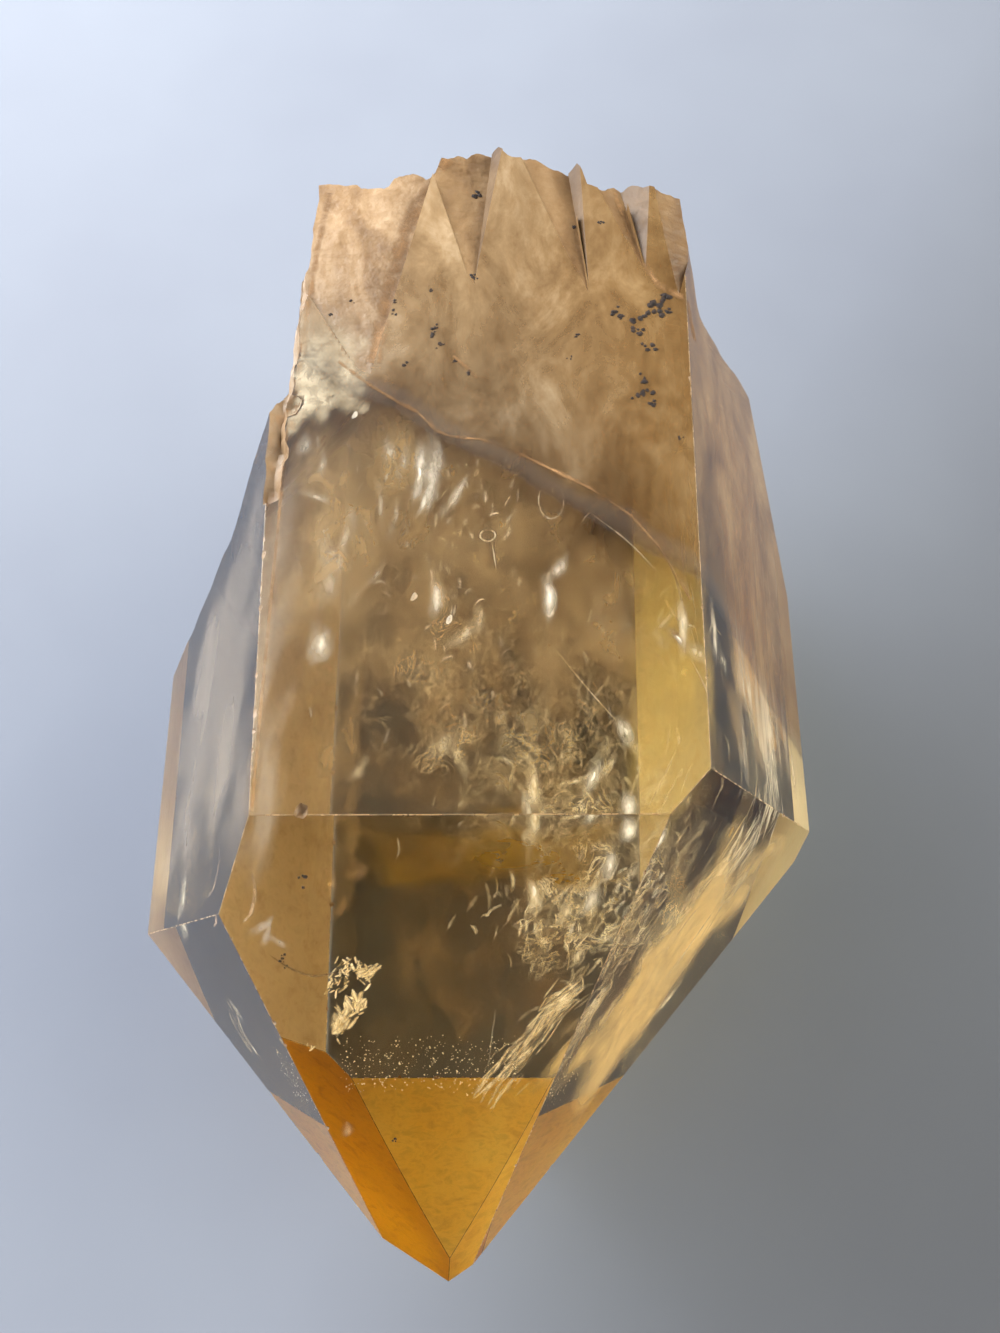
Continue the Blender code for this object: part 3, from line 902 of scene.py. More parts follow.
# Soft strokes: place, length, width, how far the stroke leans to +X for each mm of +Y, strength, and kind.
STROKES = (
    ((-7.6, 28.9, 48.0), 2.0, 0.8, 0.0, 0.7, "silver"), ((-8.1, 24.3, 48.0), 3.4, 0.5, -0.1, 0.6, "silver"),
    ((-5.1, 27.0, 48.0), 5.4, 0.9, 0.1, 0.9, "silver"), ((-4.2, 25.8, 48.0), 4.4, 1.0, 0.05, 0.6, "silver"),
    ((-3.9, 28.1, 48.0), 4.6, 1.4, 0.0, 0.5, "silver"), ((-6.4, 28.0, 48.0), 2.8, 0.6, 0.2, 0.5, "silver"),
    ((-4.7, 24.4, 48.0), 2.2, 0.5, 0.3, 0.8, "silver"), ((-7.0, 22.8, 48.0), 3.2, 0.5, 0.2, 0.4, "silver"),
    ((-10.6, 21.7, 48.0), 3.6, 0.9, 0.3, 0.5, "silver"), ((-11.1, 19.4, 48.0), 3.0, 0.8, 0.25, 0.5, "silver"),
    ((-11.8, 18.0, 48.0), 5.0, 1.5, 0.05, 0.6, "silver"), ((-12.0, 12.5, 48.0), 2.7, 1.6, 0.1, 0.8, "silver"),
    ((-3.4, 16.2, 48.0), 2.6, 1.0, 0.05, 0.7, "silver"), ((-1.4, 13.2, 48.0), 2.8, 0.8, 0.9, 0.5, "gold"),
    ((-0.1, 14.4, 48.0), 2.2, 0.7, 0.1, 0.5, "gold"), ((-2.4, 24.6, 48.0), 3.2, 0.8, 0.6, 0.35, "silver"),
    ((-1.8, 25.8, 48.0), 2.4, 0.5, 0.6, 0.35, "silver"), ((-13.2, 24.9, 48.0), 2.6, 0.5, -3.0, 0.45, "silver"),
    ((-9.3, 16.8, 48.0), 3.0, 0.5, 0.7, 0.35, "gold"), ((-8.2, 18.1, 48.0), 2.2, 0.4, 0.7, 0.4, "silver"),
    ((-14.5, 29.5, 48.0), 2.0, 1.0, 0.3, 0.5, "silver"), ((-12.9, 28.0, 48.0), 2.4, 0.6, 0.0, 0.4, "silver"),
    ((5.2, 16.3, 48.0), 3.2, 0.9, -0.05, 1.0, "silver"), ((5.9, 18.7, 48.0), 2.4, 0.9, 0.7, 0.5, "silver"),
    ((8.8, 21.4, 41.4), 3.2, 0.6, -2.0, 0.25, "gold"), ((9.4, 16.6, 41.0), 4.2, 1.6, 0.0, 0.22, "silver"),
    ((11.4, 16.2, 41.0), 3.6, 1.2, 0.0, 0.25, "silver"), ((11.2, 6.8, 41.4), 2.2, 1.0, -0.4, 1.2, "silver"),
    ((11.9, 5.6, 41.0), 1.6, 0.7, -0.6, 0.7, "gold"), ((8.6, 3.2, 41.5), 2.8, 0.8, 0.4, 1.0, "silver"),
    ((9.7, 4.0, 41.5), 2.2, 0.6, 0.8, 0.7, "gold"), ((4.1, 2.5, 41.5), 3.4, 0.8, -0.1, 0.8, "gold"),
    ((3.7, 0.9, 39.5), 2.6, 0.7, -0.1, 0.7, "silver"), ((7.2, 2.9, 41.0), 2.6, 0.4, 3.0, 0.6, "gold"),
    ((9.5, 5.3, 41.4), 2.2, 0.8, 0.6, 0.5, "gold"), ((8.0, 9.4, 40.0), 3.0, 0.6, -0.5, 0.3, "gold"),
    ((11.0, 0.6, 43.9), 1.9, 1.0, 0.1, 1.2, "silver"), ((9.7, -1.8, 42.0), 2.4, 0.9, 0.2, 1.0, "silver"),
    ((8.7, -2.8, 41.0), 2.2, 0.7, 0.5, 0.6, "gold"), ((4.1, -3.4, 40.6), 3.4, 1.0, -0.1, 0.9, "gold"),
    ((8.5, -4.3, 40.6), 2.6, 1.0, 0.4, 0.8, "silver"), ((7.6, -8.0, 36.9), 1.8, 0.7, 0.3, 0.6, "gold"),
    ((6.6, -4.6, 38.6), 2.6, 0.8, 0.5, 0.5, "gold"), ((4.6, -1.2, 42.4), 2.2, 0.5, 0.2, 0.4, "gold"),
    # The smoke stroke at (14.9, 13.0, 47.8) is a painted shadow: a dark stroke where a shadow patch lies in the golden
    # strip.
    ((14.6, 15.8, 42.0), 3.2, 0.5, 0.9, 0.5, "silver"), ((14.9, 13.0, 47.8), 2.6, 1.1, -0.8, 1.0, "smoke"),
    ((17.0, 13.0, 42.2), 2.2, 1.2, -1.0, 0.5, "silver"), ((14.2, 14.2, 42.1), 2.0, 0.8, -0.4, 0.4, "silver"),
    ((-9.5, -1.2, 38.7), 1.8, 1.4, 0.8, 0.5, "amber"), ((-11.6, -2.0, 38.1), 1.8, 1.0, 0.2, 0.5, "amber"),
    ((-10.8, -3.6, 36.6), 2.2, 1.0, 0.5, 0.4, "amber"), ((-3.0, 5.6, 41.4), 2.0, 1.6, 0.4, 0.4, "gold"),
    ((-1.6, 4.4, 41.0), 2.4, 0.8, -0.5, 0.4, "gold"), ((-9.2, 3.6, 41.5), 2.0, 0.8, 0.7, 0.35, "gold"),
    ((-16.0, -7.4, 43.0), 2.0, 0.8, 1.3, 0.36, "cold"), ((-15.6, -7.9, 42.8), 1.8, 0.6, 0.2, 0.4, "cold"),
    ((-15.0, -8.2, 42.2), 1.9, 0.5, -1.6, 0.36, "cold"), ((-19.0, -12.4, 30.6), 2.2, 0.7, -0.5, 0.6, "silver"),
    ((-17.9, -15.4, 27.2), 2.0, 0.4, -0.6, 0.9, "silver"),
    ((-22.5, -4.5, 31.1), 3.2, 1.4, 0.2, 0.8, "silver"), ((-18.0, 5.6, 39.6), 2.8, 0.3, 0.0, 0.8, "silver"),
    ((15.8, 15.2, 43.2), 4.4, 0.9, 0.0, 1.2, "silver"), ((21.7, 19.5, 33.2), 6.0, 0.8, 0.0, 0.9, "silver"),
    ((19.5, 28.6, 37.0), 5.0, 1.0, 0.1, 0.9, "silver"), ((20.2, 26.0, 36.0), 3.4, 0.8, 0.1, 0.8, "silver"),
    ((15.2, -11.0, 23.9), 3.4, 0.8, 0.9, 1.1, "silver"), ((-10.6, -22.0, 30.4), 1.4, 0.8, 0.2, 0.3, "silver"),
)
# Thin lines: their points, width, strength and kind.
LINES = (
    (((5.1, 14.3, 42.1), (8.0, 10.4, 42.2), (11.1, 6.6, 42.4)), 0.18, 0.7, "silver"),
    (((0.7, 21.1, 48.0), (0.9, 19.9, 48.0), (1.1, 18.5, 48.0)), 0.16, 0.5, "silver"),
    (((8.4, 23.7, 48.0), (11.2, 21.3, 48.0), (13.6, 18.5, 48.0)), 0.22, 0.6, "silver"),
    (((1.2, -11.4, 33.0), (0.9, -13.6, 31.2), (0.6, -16.4, 29.0)), 0.16, 0.4, "silver"),
    (((-17.4, -1.4, 39.6), (-17.2, -3.2, 39.2), (-17.6, -4.6, 38.4), (-18.4, -5.2, 37.4)), 0.5, 0.7, "rose"),
    (((-15.6, -9.4, 42.3), (-13.8, -10.6, 42.0), (-12.0, -11.1, 41.8), (-9.6, -10.4, 41.9)), 0.3, 0.9, "brown"),
    (((14.6, 17.8, 42.0), (15.6, 16.0, 42.0), (17.2, 15.2, 42.0)), 0.3, 0.7, "gold"),
    (((-7.6, 22.2, 43.0), (-6.6, 23.6, 43.0), (-5.0, 24.6, 43.0)), 0.25, 0.4, "silver"),
)
# Rings: centre, half sizes across and along, width and strength.
RINGS = (
    ((5.4, 24.7, 48.0), 1.0, 1.6, 0.26, 0.45),
    ((0.4, 21.6, 48.0), 0.6, 0.5, 0.26, 0.7),
    ((-3.3, 17.4, 43.0), 0.8, 1.2, 0.25, 0.35),
)
# Strands: centre, heading, the box they start in, how many, their length, curl, width, strength and kind.
STRANDS = (
    ((19.3, 24.0, 35.6), (-0.05, 1, 0), (2.4, 8.0, 2.4), 60, 7.0, 0.03, 0.34, 0.8, "silver"),
    ((22.4, 9.5, 31.8), (-0.12, 1, -0.02), (2.0, 9.0, 2.6), 110, 8.0, 0.03, 0.42, 1.0, "silver"),
    ((17.3, -2.5, 29.2), (0.62, 1, 0.35), (3.6, 5.0, 3.2), 130, 6.0, 0.03, 0.42, 0.9, "gold"),
    ((19.8, 1.0, 31.0), (0.62, 1, 0.35), (2.4, 4.0, 2.4), 60, 5.0, 0.04, 0.40, 1.0, "silver"),
    ((6.4, -3.6, 36.4), (0.3, 1, 0.3), (6.0, 5.0, 3.0), 130, 2.2, 0.16, 0.42, 0.6, "gold"),
    ((8.4, -6.6, 33.6), (0.7, 1, 0.3), (5.0, 6.0, 3.0), 90, 2.6, 0.16, 0.42, 0.6, "gold"),
    ((-3.0, 22.0, 48.0), (0.2, 1, 0.0), (11.0, 16.0, 0.8), 130, 1.3, 0.14, 0.32, 0.42, "silver"),
    ((2.0, 17.0, 45.6), (0.5, 1, 0.0), (13.0, 15.0, 1.6), 120, 1.6, 0.16, 0.36, 0.34, "gold"),
    ((0.0, 37.0, 48.0), (0.1, 1, 0.0), (13.0, 8.0, 0.4), 50, 1.2, 0.14, 0.3, 0.4, "silver"),
    ((9.8, -1.9, 38.4), (0.3, 1, 0.3), (3.4, 4.0, 2.4), 60, 1.8, 0.14, 0.40, 0.5, "silver"),
    ((6.8, 4.2, 38.0), (0.2, 1, 0.1), (8.0, 4.6, 3.2), 90, 2.4, 0.16, 0.42, 0.4, "gold"),
    ((-4.6, 28.4, 42.2), (0.1, 1, 0.1), (4.2, 5.6, 1.6), 60, 3.2, 0.05, 0.40, 0.4, "silver"),
    ((-11.4, 21.0, 43.2), (0.2, 1, 0.1), (2.4, 6.0, 1.2), 40, 3.0, 0.08, 0.40, 0.35, "silver"),
    ((3.0, 13.0, 41.4), (0.5, 1, 0.1), (9.0, 9.0, 2.0), 70, 2.6, 0.12, 0.40, 0.3, "gold"),
    ((10.0, 15.0, 41.0), (0.0, 1, 0.1), (5.0, 9.0, 2.0), 50, 3.4, 0.1, 0.50, 0.25, "gold"),
    ((-18.9, -14.1, 26.6), (-0.5, 1, 0.7), (0.8, 3.4, 1.2), 24, 3.0, 0.1, 0.36, 0.7, "silver"),
)
# The golden tuft's bunches: place, spread, how many leaves, their length and how upright they lie.
TUFT = (
    ((-9.2, -8.7, 33.8), 1.1, 40, 1.0, 0.9), ((-10.6, -8.4, 34.2), 0.9, 26, 0.9, 0.8),
    ((-11.6, -9.6, 33.2), 0.8, 20, 1.0, 0.6), ((-9.9, -11.2, 31.9), 0.8, 26, 1.3, 0.6),
    ((-10.9, -12.0, 31.2), 0.7, 18, 1.7, 0.35), ((-11.6, -13.2, 30.2), 0.5, 12, 1.9, 0.3),
    ((-14.0, -14.2, 29.4), 0.2, 3, 0.8, 0.4),
)
FEATHER = ((8.2, -9.7, 34.3), (6.3, -11.1, 33.1), (4.4, -13.4, 31.3), (2.8, -15.3, 29.7), (1.2, -17.4, 28.0))
CRACK = (
    (-12.1, 37.2), (-10.6, 35.9), (-9.4, 34.9), (-6.8, 33.1), (-5.4, 32.3), (-3.8, 30.5), (-2.7, 30.0), (-0.1, 29.7),
    (2.5, 28.6), (5.0, 27.2), (8.4, 25.3), (11.6, 22.8), (13.6, 20.1), (15.7, 15.7),
)
FROST = ((-16.0, 29.6), (-8.6, 32.4), (-9.3, 42.4), (-16.0, 42.6))
# Brown lines on the upper side: their points, width and strength.
BANDS = (
    (((-3.5, 60.9), (-5.8, 57.4), (-7.3, 52.8), (-8.2, 45.5), (-9.2, 37.1)), 2.2, 1.0),
    (((-14.4, 57.2), (-14.9, 50.0), (-15.1, 42.0), (-15.3, 34.0), (-15.5, 30.5)), 1.0, 0.8),
    (((-15.8, 30.5), (-15.8, 20.0), (-15.8, 8.0), (-15.75, -0.6)), 0.45, 0.7),
    (((11.6, 56.6), (12.3, 53.1), (13.1, 49.1), (13.9, 47.2), (14.8, 45.4), (17.2, 43.8), (17.9, 40.7)), 0.9, 1.0),
    (CRACK, 0.42, 0.9),
    (CRACK[2:5], 0.5, 1.0),
    (CRACK[8:11], 0.5, 1.0),
    (((-2.6, 37.8), (-1.4, 36.6), (-0.6, 35.6)), 0.5, 0.9),
)
SPECKS = (
    (-0.8, 56.6, 0.5), (-1.1, 46.1, 0.42), (-4.0, 40.7, 0.3), (-4.3, 39.9, 0.3), (-3.7, 39.1, 0.3),
    (10.8, 42.7, 0.42), (11.6, 41.9, 0.42), (12.4, 41.4, 0.5), (13.5, 42.1, 0.5), (14.4, 42.9, 0.55),
    (15.1, 43.8, 0.5), (15.6, 44.2, 0.5), (14.8, 42.5, 0.5), (15.8, 42.5, 0.4), (13.0, 40.6, 0.4),
    (13.2, 35.4, 0.42), (13.6, 34.6, 0.42), (12.7, 34.1, 0.36), (13.9, 33.4, 0.34), (13.5, 38.9, 0.4),
    (7.8, 52.3, 0.26), (10.2, 52.3, 0.26), (7.8, 40.1, 0.2), (7.1, 37.7, 0.2), (-7.7, 43.6, 0.26),
    (-7.8, 42.3, 0.3), (-6.7, 37.0, 0.26), (-11.5, 44.0, 0.22), (-13.1, 42.3, 0.22), (-4.6, 44.7, 0.2),
    (-2.4, 37.4, 0.2), (-1.2, 36.2, 0.24), (15.8, 30.0, 0.2), (12.9, 40.3, 0.3),
    (-12.4, -4.6, 0.3), (-14.4, -9.8, 0.26), (-14.2, -10.5, 0.2), (-6.7, -23.1, 0.2),
)


def strokes(name, kind, material):
    """All the soft strokes of one kind, as one piece."""
    mesh, fade = faded_mesh()
    for place, length, width, lean, strength, this_kind in STROKES:
        if this_kind == kind:
            facing = Vector((place[0] / 26.0, 0.0, 1.0)) if abs(place[0]) > 14.5 else Vector((-0.2, 0.0, 1.0))
            patch(mesh, fade, Vector(place), Vector((lean, 1.0, 0.1)), facing, 1.4 * length, 1.55 * width, 1.25 * strength)
    return dress(mesh_object(name, mesh, [material]))


def strands(name, kind, material):
    """All the strands of one kind, as one piece."""
    chance = random.Random(name)
    mesh, fade = faded_mesh()
    for centre, heading, spread, count, length, curl, width, strength, this_kind in STRANDS:
        if this_kind != kind:
            continue
        for _ in range(count):
            offset = Vector(chance.gauss(0, 0.5) * part for part in spread)
            long = length * chance.uniform(0.35, 1.1)
            start = Vector(centre) + offset - Vector(heading).normalized() * long / 2
            facing = Vector((chance.gauss(0, 0.5), chance.gauss(0, 0.5), 1.0))
            points = wandering(start, Vector(heading), long, 8, curl, chance)
            size, cover = width * chance.uniform(0.4, 1.4), strength * chance.uniform(0.2, 1.0)
            if all(is_inside(point) for point in points):
                ribbon(mesh, fade, points, size, facing, cover)
    for points, width, strength, this_kind in LINES:
        if this_kind == kind:
            fine = smooth_line(points, 12)
            ribbon(mesh, fade, fine, width, Vector((0.0, 0.0, 1.0)), strength)
    if kind == "silver":
        for centre, across, lengthwise, width, strength in RINGS:
            turns = [2 * math.pi * step / 22 for step in range(23)]
            loop = [Vector(centre) + Vector((across * math.sin(t), lengthwise * math.cos(t), 0.0)) for t in turns]
            ribbon(mesh, fade, loop, width, Vector((0.0, 0.0, 1.0)), strength)
    return dress(mesh_object(name, mesh, [material]))


def smooth_line(points, steps):
    """Evenly spread places on a smooth curve through the points."""
    points = [Vector(point) for point in points]
    padded = [2 * points[0] - points[1]] + points + [2 * points[-1] - points[-2]]
    places = []
    for step in range(steps + 1):
        share = step / steps * (len(points) - 1)
        index = min(int(share), len(points) - 2)
        t = share - index
        a, b, c, d = padded[index:index + 4]
        places.append(0.5 * (2 * b + (c - a) * t + (2 * a - 5 * b + 4 * c - d) * t * t + (3 * b - a - 3 * c + d) * t ** 3))
    return places


def sparkles(material):
    """A few tiny mirror-bright flakes in the middle of the strongest strokes."""
    chance = random.Random("sparkles")
    mesh = bmesh.new()
    for place, length, width, lean, strength, _ in STROKES:
        if strength >= 0.9:
            facing = Vector((-0.2, 0.0, 1.0))
            lens(mesh, Vector(place), Vector((lean, 1.0, 0.1)), facing, 0.34 * length, 0.3 * width, 0.06, chance)
    for x, y, z in ((-0.6, 28.6, 43.6), (-2.5, 14.9, 46.1), (-5.4, 17.3, 44.0), (-10.6, 32.7, 47.5), (5.4, 16.0, 44.0)):
        lens(mesh, Vector((x, y, z)), Vector((0.4, 1.0, 0.0)), Vector((-0.3, 0.1, 1.0)), 0.8, 0.45, 0.1, chance)
    return dress(mesh_object("sparkles", mesh, [material]))


def feather(material):
    """A plume of soft barbs that spread a little from a curved line."""
    chance = random.Random("feather")
    mesh, fade = faded_mesh()
    spine = smooth_line(FEATHER, 40)
    for _ in range(190):
        share = chance.random()
        index = min(int(share * 40), 39)
        heading = (spine[index + 1] - spine[index]).normalized()
        side = Vector((1.0, 0.45, 0.1)) * chance.gauss(0.0, 0.16)
        spread = 0.28 + 0.5 * share
        place = spine[index] + Vector((chance.gauss(0, spread), chance.gauss(0, 0.4), chance.gauss(0, 0.4)))
        facing = Vector((chance.gauss(0, 0.4), chance.gauss(0, 0.4), 1.0))
        points = wandering(place, heading + side, chance.uniform(1.2, 3.4), 6, 0.03, chance)
        ribbon(mesh, fade, points, chance.uniform(0.16, 0.42), facing, chance.uniform(0.25, 0.8))
    return dress(mesh_object("feather", mesh, [material]))


def specks(skin, material):
    """Grains of dark mineral on the upper side, some in branching groups."""
    chance = random.Random("specks")
    mesh = bmesh.new()
    for x, y, size in SPECKS:
        for _ in range(5):
            radius = 0.52 * size * chance.uniform(0.5, 1.2)
            place = on_skin(skin, x + chance.gauss(0, size * 0.6), y + chance.gauss(0, size * 0.6))
            made = bmesh.ops.create_icosphere(mesh, subdivisions=1, radius=radius)
            for vertex in made["verts"]:
                rough = 1 + 0.7 * noise.noise(vertex.co * (1.3 / radius) + place)
                flat = Vector((vertex.co.x, vertex.co.y, vertex.co.z * 0.4))
                vertex.co = place + flat * rough
    return dress(mesh_object("mineral_specks", mesh, [material]))


def tuft(material):
    """The tuft of small golden leaves, in bunches."""
    chance = random.Random("tuft")
    mesh, fade = faded_mesh()
    for centre, spread, count, length, fan in TUFT:
        for _ in range(count):
            start = Vector(centre) + Vector(chance.gauss(0, 0.5 * spread) for _ in range(3))
            heading = Vector((chance.gauss(0.2, fan), 1.0, -0.5 + chance.gauss(0, 0.3)))
            facing = Vector((chance.gauss(0, 0.3), chance.gauss(0, 0.3), 1.0))
            long = length * chance.uniform(0.5, 1.3)
            points = wandering(start, heading, long, 6, 0.06, chance)
            ribbon(mesh, fade, points, long * chance.uniform(0.22, 0.42), facing, chance.uniform(0.5, 1.5))
    return dress(mesh_object("golden_tuft", mesh, [material]))


def bubbles(material):
    """A haze of very small bubbles near the lower end of the dark window."""
    chance = random.Random("bubbles")
    mesh = bmesh.new()
    for _ in range(420):
        x = chance.uniform(-12.0, 3.0)
        y = -11.0 - 5.0 * chance.random() + 0.1 * x
        place = Vector((x, y - 0.1 * (x + 4), chance.uniform(20.0, 24.5)))
        radius = 0.035 + 0.05 * chance.random() ** 3
        bmesh.ops.create_icosphere(mesh, subdivisions=1, radius=radius, matrix=Matrix.Translation(place))
    return dress(mesh_object("bubbles", mesh, [material]))


def crack_sheet(material):
    """The healed crack: a sheet that dips from its line on the top face back and down into the crystal."""
    line = smooth_line([(x, y, top_height(y) - 0.12) for x, y in CRACK], 40)

    def place_rule(u, v):
        spot = line[round(u * 40)] + Vector((0.0, 21.0 * v, -17.0 * v ** 1.3))
        return spot + Vector((0.0, 0.0, 1.1 * v * noise.noise(spot / 5.0)))

    return grid_piece("healed_crack", material, place_rule, lambda u, v, place: 1.4 * (1 - v) ** 1.2, 40, 14)


def stains(skin, material):
    """The brown lines along ledges, edges and the healed crack."""
    mesh, fade = faded_mesh()
    for index, (line, width, strength) in enumerate(BANDS):
        surface_band(mesh, fade, skin, line, width, strength, 0.03 + 0.006 * index)
    return dress(mesh_object("brown_stains", mesh, [material]))


# Veils: four corners in turn, bulge, ripple and kind.
VEILS = (
    (((-16.0, 6.0, 47.0), (14.5, 6.0, 47.0), (15.5, 34.0, 46.5), (-16.0, 34.0, 46.5)), 0.5, 0.8, "haze"),
    (((-12.0, 8.0, 44.5), (14.0, 7.0, 43.5), (14.0, 36.0, 44.5), (-12.0, 36.0, 45.5)), -0.8, 1.2, "haze"),
    (((-12.5, 3.0, 41.0), (14.0, 3.0, 39.0), (14.0, 37.0, 41.0), (-12.5, 37.0, 43.0)), 1.2, 1.5, "smoke"),
    (((-12.0, -3.0, 36.0), (14.0, -2.0, 37.0), (14.0, 34.0, 40.0), (-12.0, 33.0, 39.0)), 1.5, 1.5, "smoke"),
    (((-11.0, -16.0, 22.0), (11.0, -15.0, 23.0), (11.0, 11.0, 27.0), (-11.0, 10.0, 26.0)), 1.5, 1.5, "smoke"),
    (((-11.4, -4.6, 42.2), (12.6, -4.4, 42.2), (12.4, 0.6, 46.4), (-11.0, 0.4, 46.4)), 0.1, 0.3, "rust"),
    (((-15.8, 10.0, 48.4), (-5.0, 13.0, 48.4), (-3.0, 35.5, 47.4), (-15.8, 35.0, 47.4)), 0.2, 0.4, "mist"),
    (((-15.8, 16.0, 46.0), (8.0, 14.0, 46.0), (10.0, 33.0, 45.6), (-15.8, 38.0, 45.6)), 0.2, 0.2, "mist"),
    (((2.0, 6.0, 45.3), (14.5, 5.0, 45.3), (14.8, 28.0, 44.8), (0.0, 30.0, 44.9)), 0.1, 0.2, "mist"),
    (((-13.0, -9.0, 40.0), (-9.5, -9.0, 36.4), (-8.6, 32.0, 40.0), (-15.0, 32.0, 44.0)), 0.4, 0.6, "mist"),
    (((-15.5, 26.0, 46.0), (15.5, 27.0, 45.5), (15.5, 55.0, 44.5), (-15.5, 54.0, 45.0)), 0.8, 1.2, "milk"),
    (((-14.0, 30.0, 38.0), (16.0, 28.0, 39.0), (16.0, 50.0, 35.0), (-14.0, 52.0, 34.0)), 1.5, 1.5, "milk"),
    (((-15.0, 34.0, 26.0), (17.0, 36.0, 28.0), (17.0, 49.0, 32.0), (-15.0, 49.0, 32.0)), 1.5, 1.5, "milk"),
    (((2.0, -8.0, 33.0), (15.0, -7.0, 30.0), (16.0, 6.0, 37.0), (3.0, 5.0, 40.0)), 1.0, 1.0, "wisp"),
    (((-4.0, 0.0, 36.0), (15.0, 1.0, 35.0), (15.0, 12.0, 38.0), (-4.0, 11.0, 39.0)), 1.0, 1.0, "wisp"),
    (((0.5, -9.5, 34.0), (13.5, -8.5, 32.5), (14.5, 3.0, 39.5), (2.0, 2.5, 41.0)), 0.6, 1.6, "thread"),
    (((1.5, -9.0, 32.0), (14.0, -8.0, 31.0), (15.0, 4.0, 37.5), (2.5, 3.5, 39.0)), 0.6, 1.6, "thread"),
    (((-10.0, 1.0, 39.5), (15.0, 1.0, 38.5), (15.0, 15.0, 40.5), (-10.0, 14.0, 41.5)), 0.6, 1.6, "fibre"),
    (((-10.0, 1.0, 37.0), (14.0, 1.0, 36.5), (14.0, 18.0, 38.5), (-10.0, 16.0, 39.5)), 0.6, 1.6, "fibre"),
    (((-13.0, 4.0, 43.0), (14.0, 4.0, 43.0), (14.0, 30.0, 44.0), (-13.0, 30.0, 44.0)), 0.6, 0.8, "fibre"),
    (((29.0, 3.0, 24.8), (19.0, 3.0, 42.0), (17.0, 44.0, 44.0), (27.0, 40.0, 29.0)), 0.3, 0.4, "streak"),
    (((27.6, 5.0, 25.6), (17.5, 5.0, 43.0), (16.0, 46.0, 44.6), (26.0, 43.0, 29.0)), 0.3, 0.4, "pale_right"),
    (((19.8, 2.2, 40.0), (28.4, 2.4, 25.6), (6.0, -24.0, 23.2), (3.6, -18.4, 31.6)), 0.2, 0.3, "pale_gold"),
    (((20.0, 2.0, 38.5), (28.0, 2.6, 25.3), (8.6, -20.3, 23.7), (5.4, -16.6, 31.0)), 0.2, 0.3, "gold_streak"),
    (((18.0, 1.5, 40.5), (26.8, 3.2, 26.0), (8.0, -18.6, 24.2), (5.0, -14.8, 32.5)), 0.2, 0.3, "gold_streak"),
    (((-28.6, -6.0, 24.6), (-13.5, -4.0, 48.4), (-13.6, 39.0, 47.6), (-26.8, 18.5, 26.5)), 0.2, 0.4, "pale_left"),
    (((10.6, -2.0, 45.8), (16.8, 0.0, 46.0), (16.6, 40.0, 47.0), (11.0, 40.0, 47.2)), 0.1, 0.2, "gilt"),
)


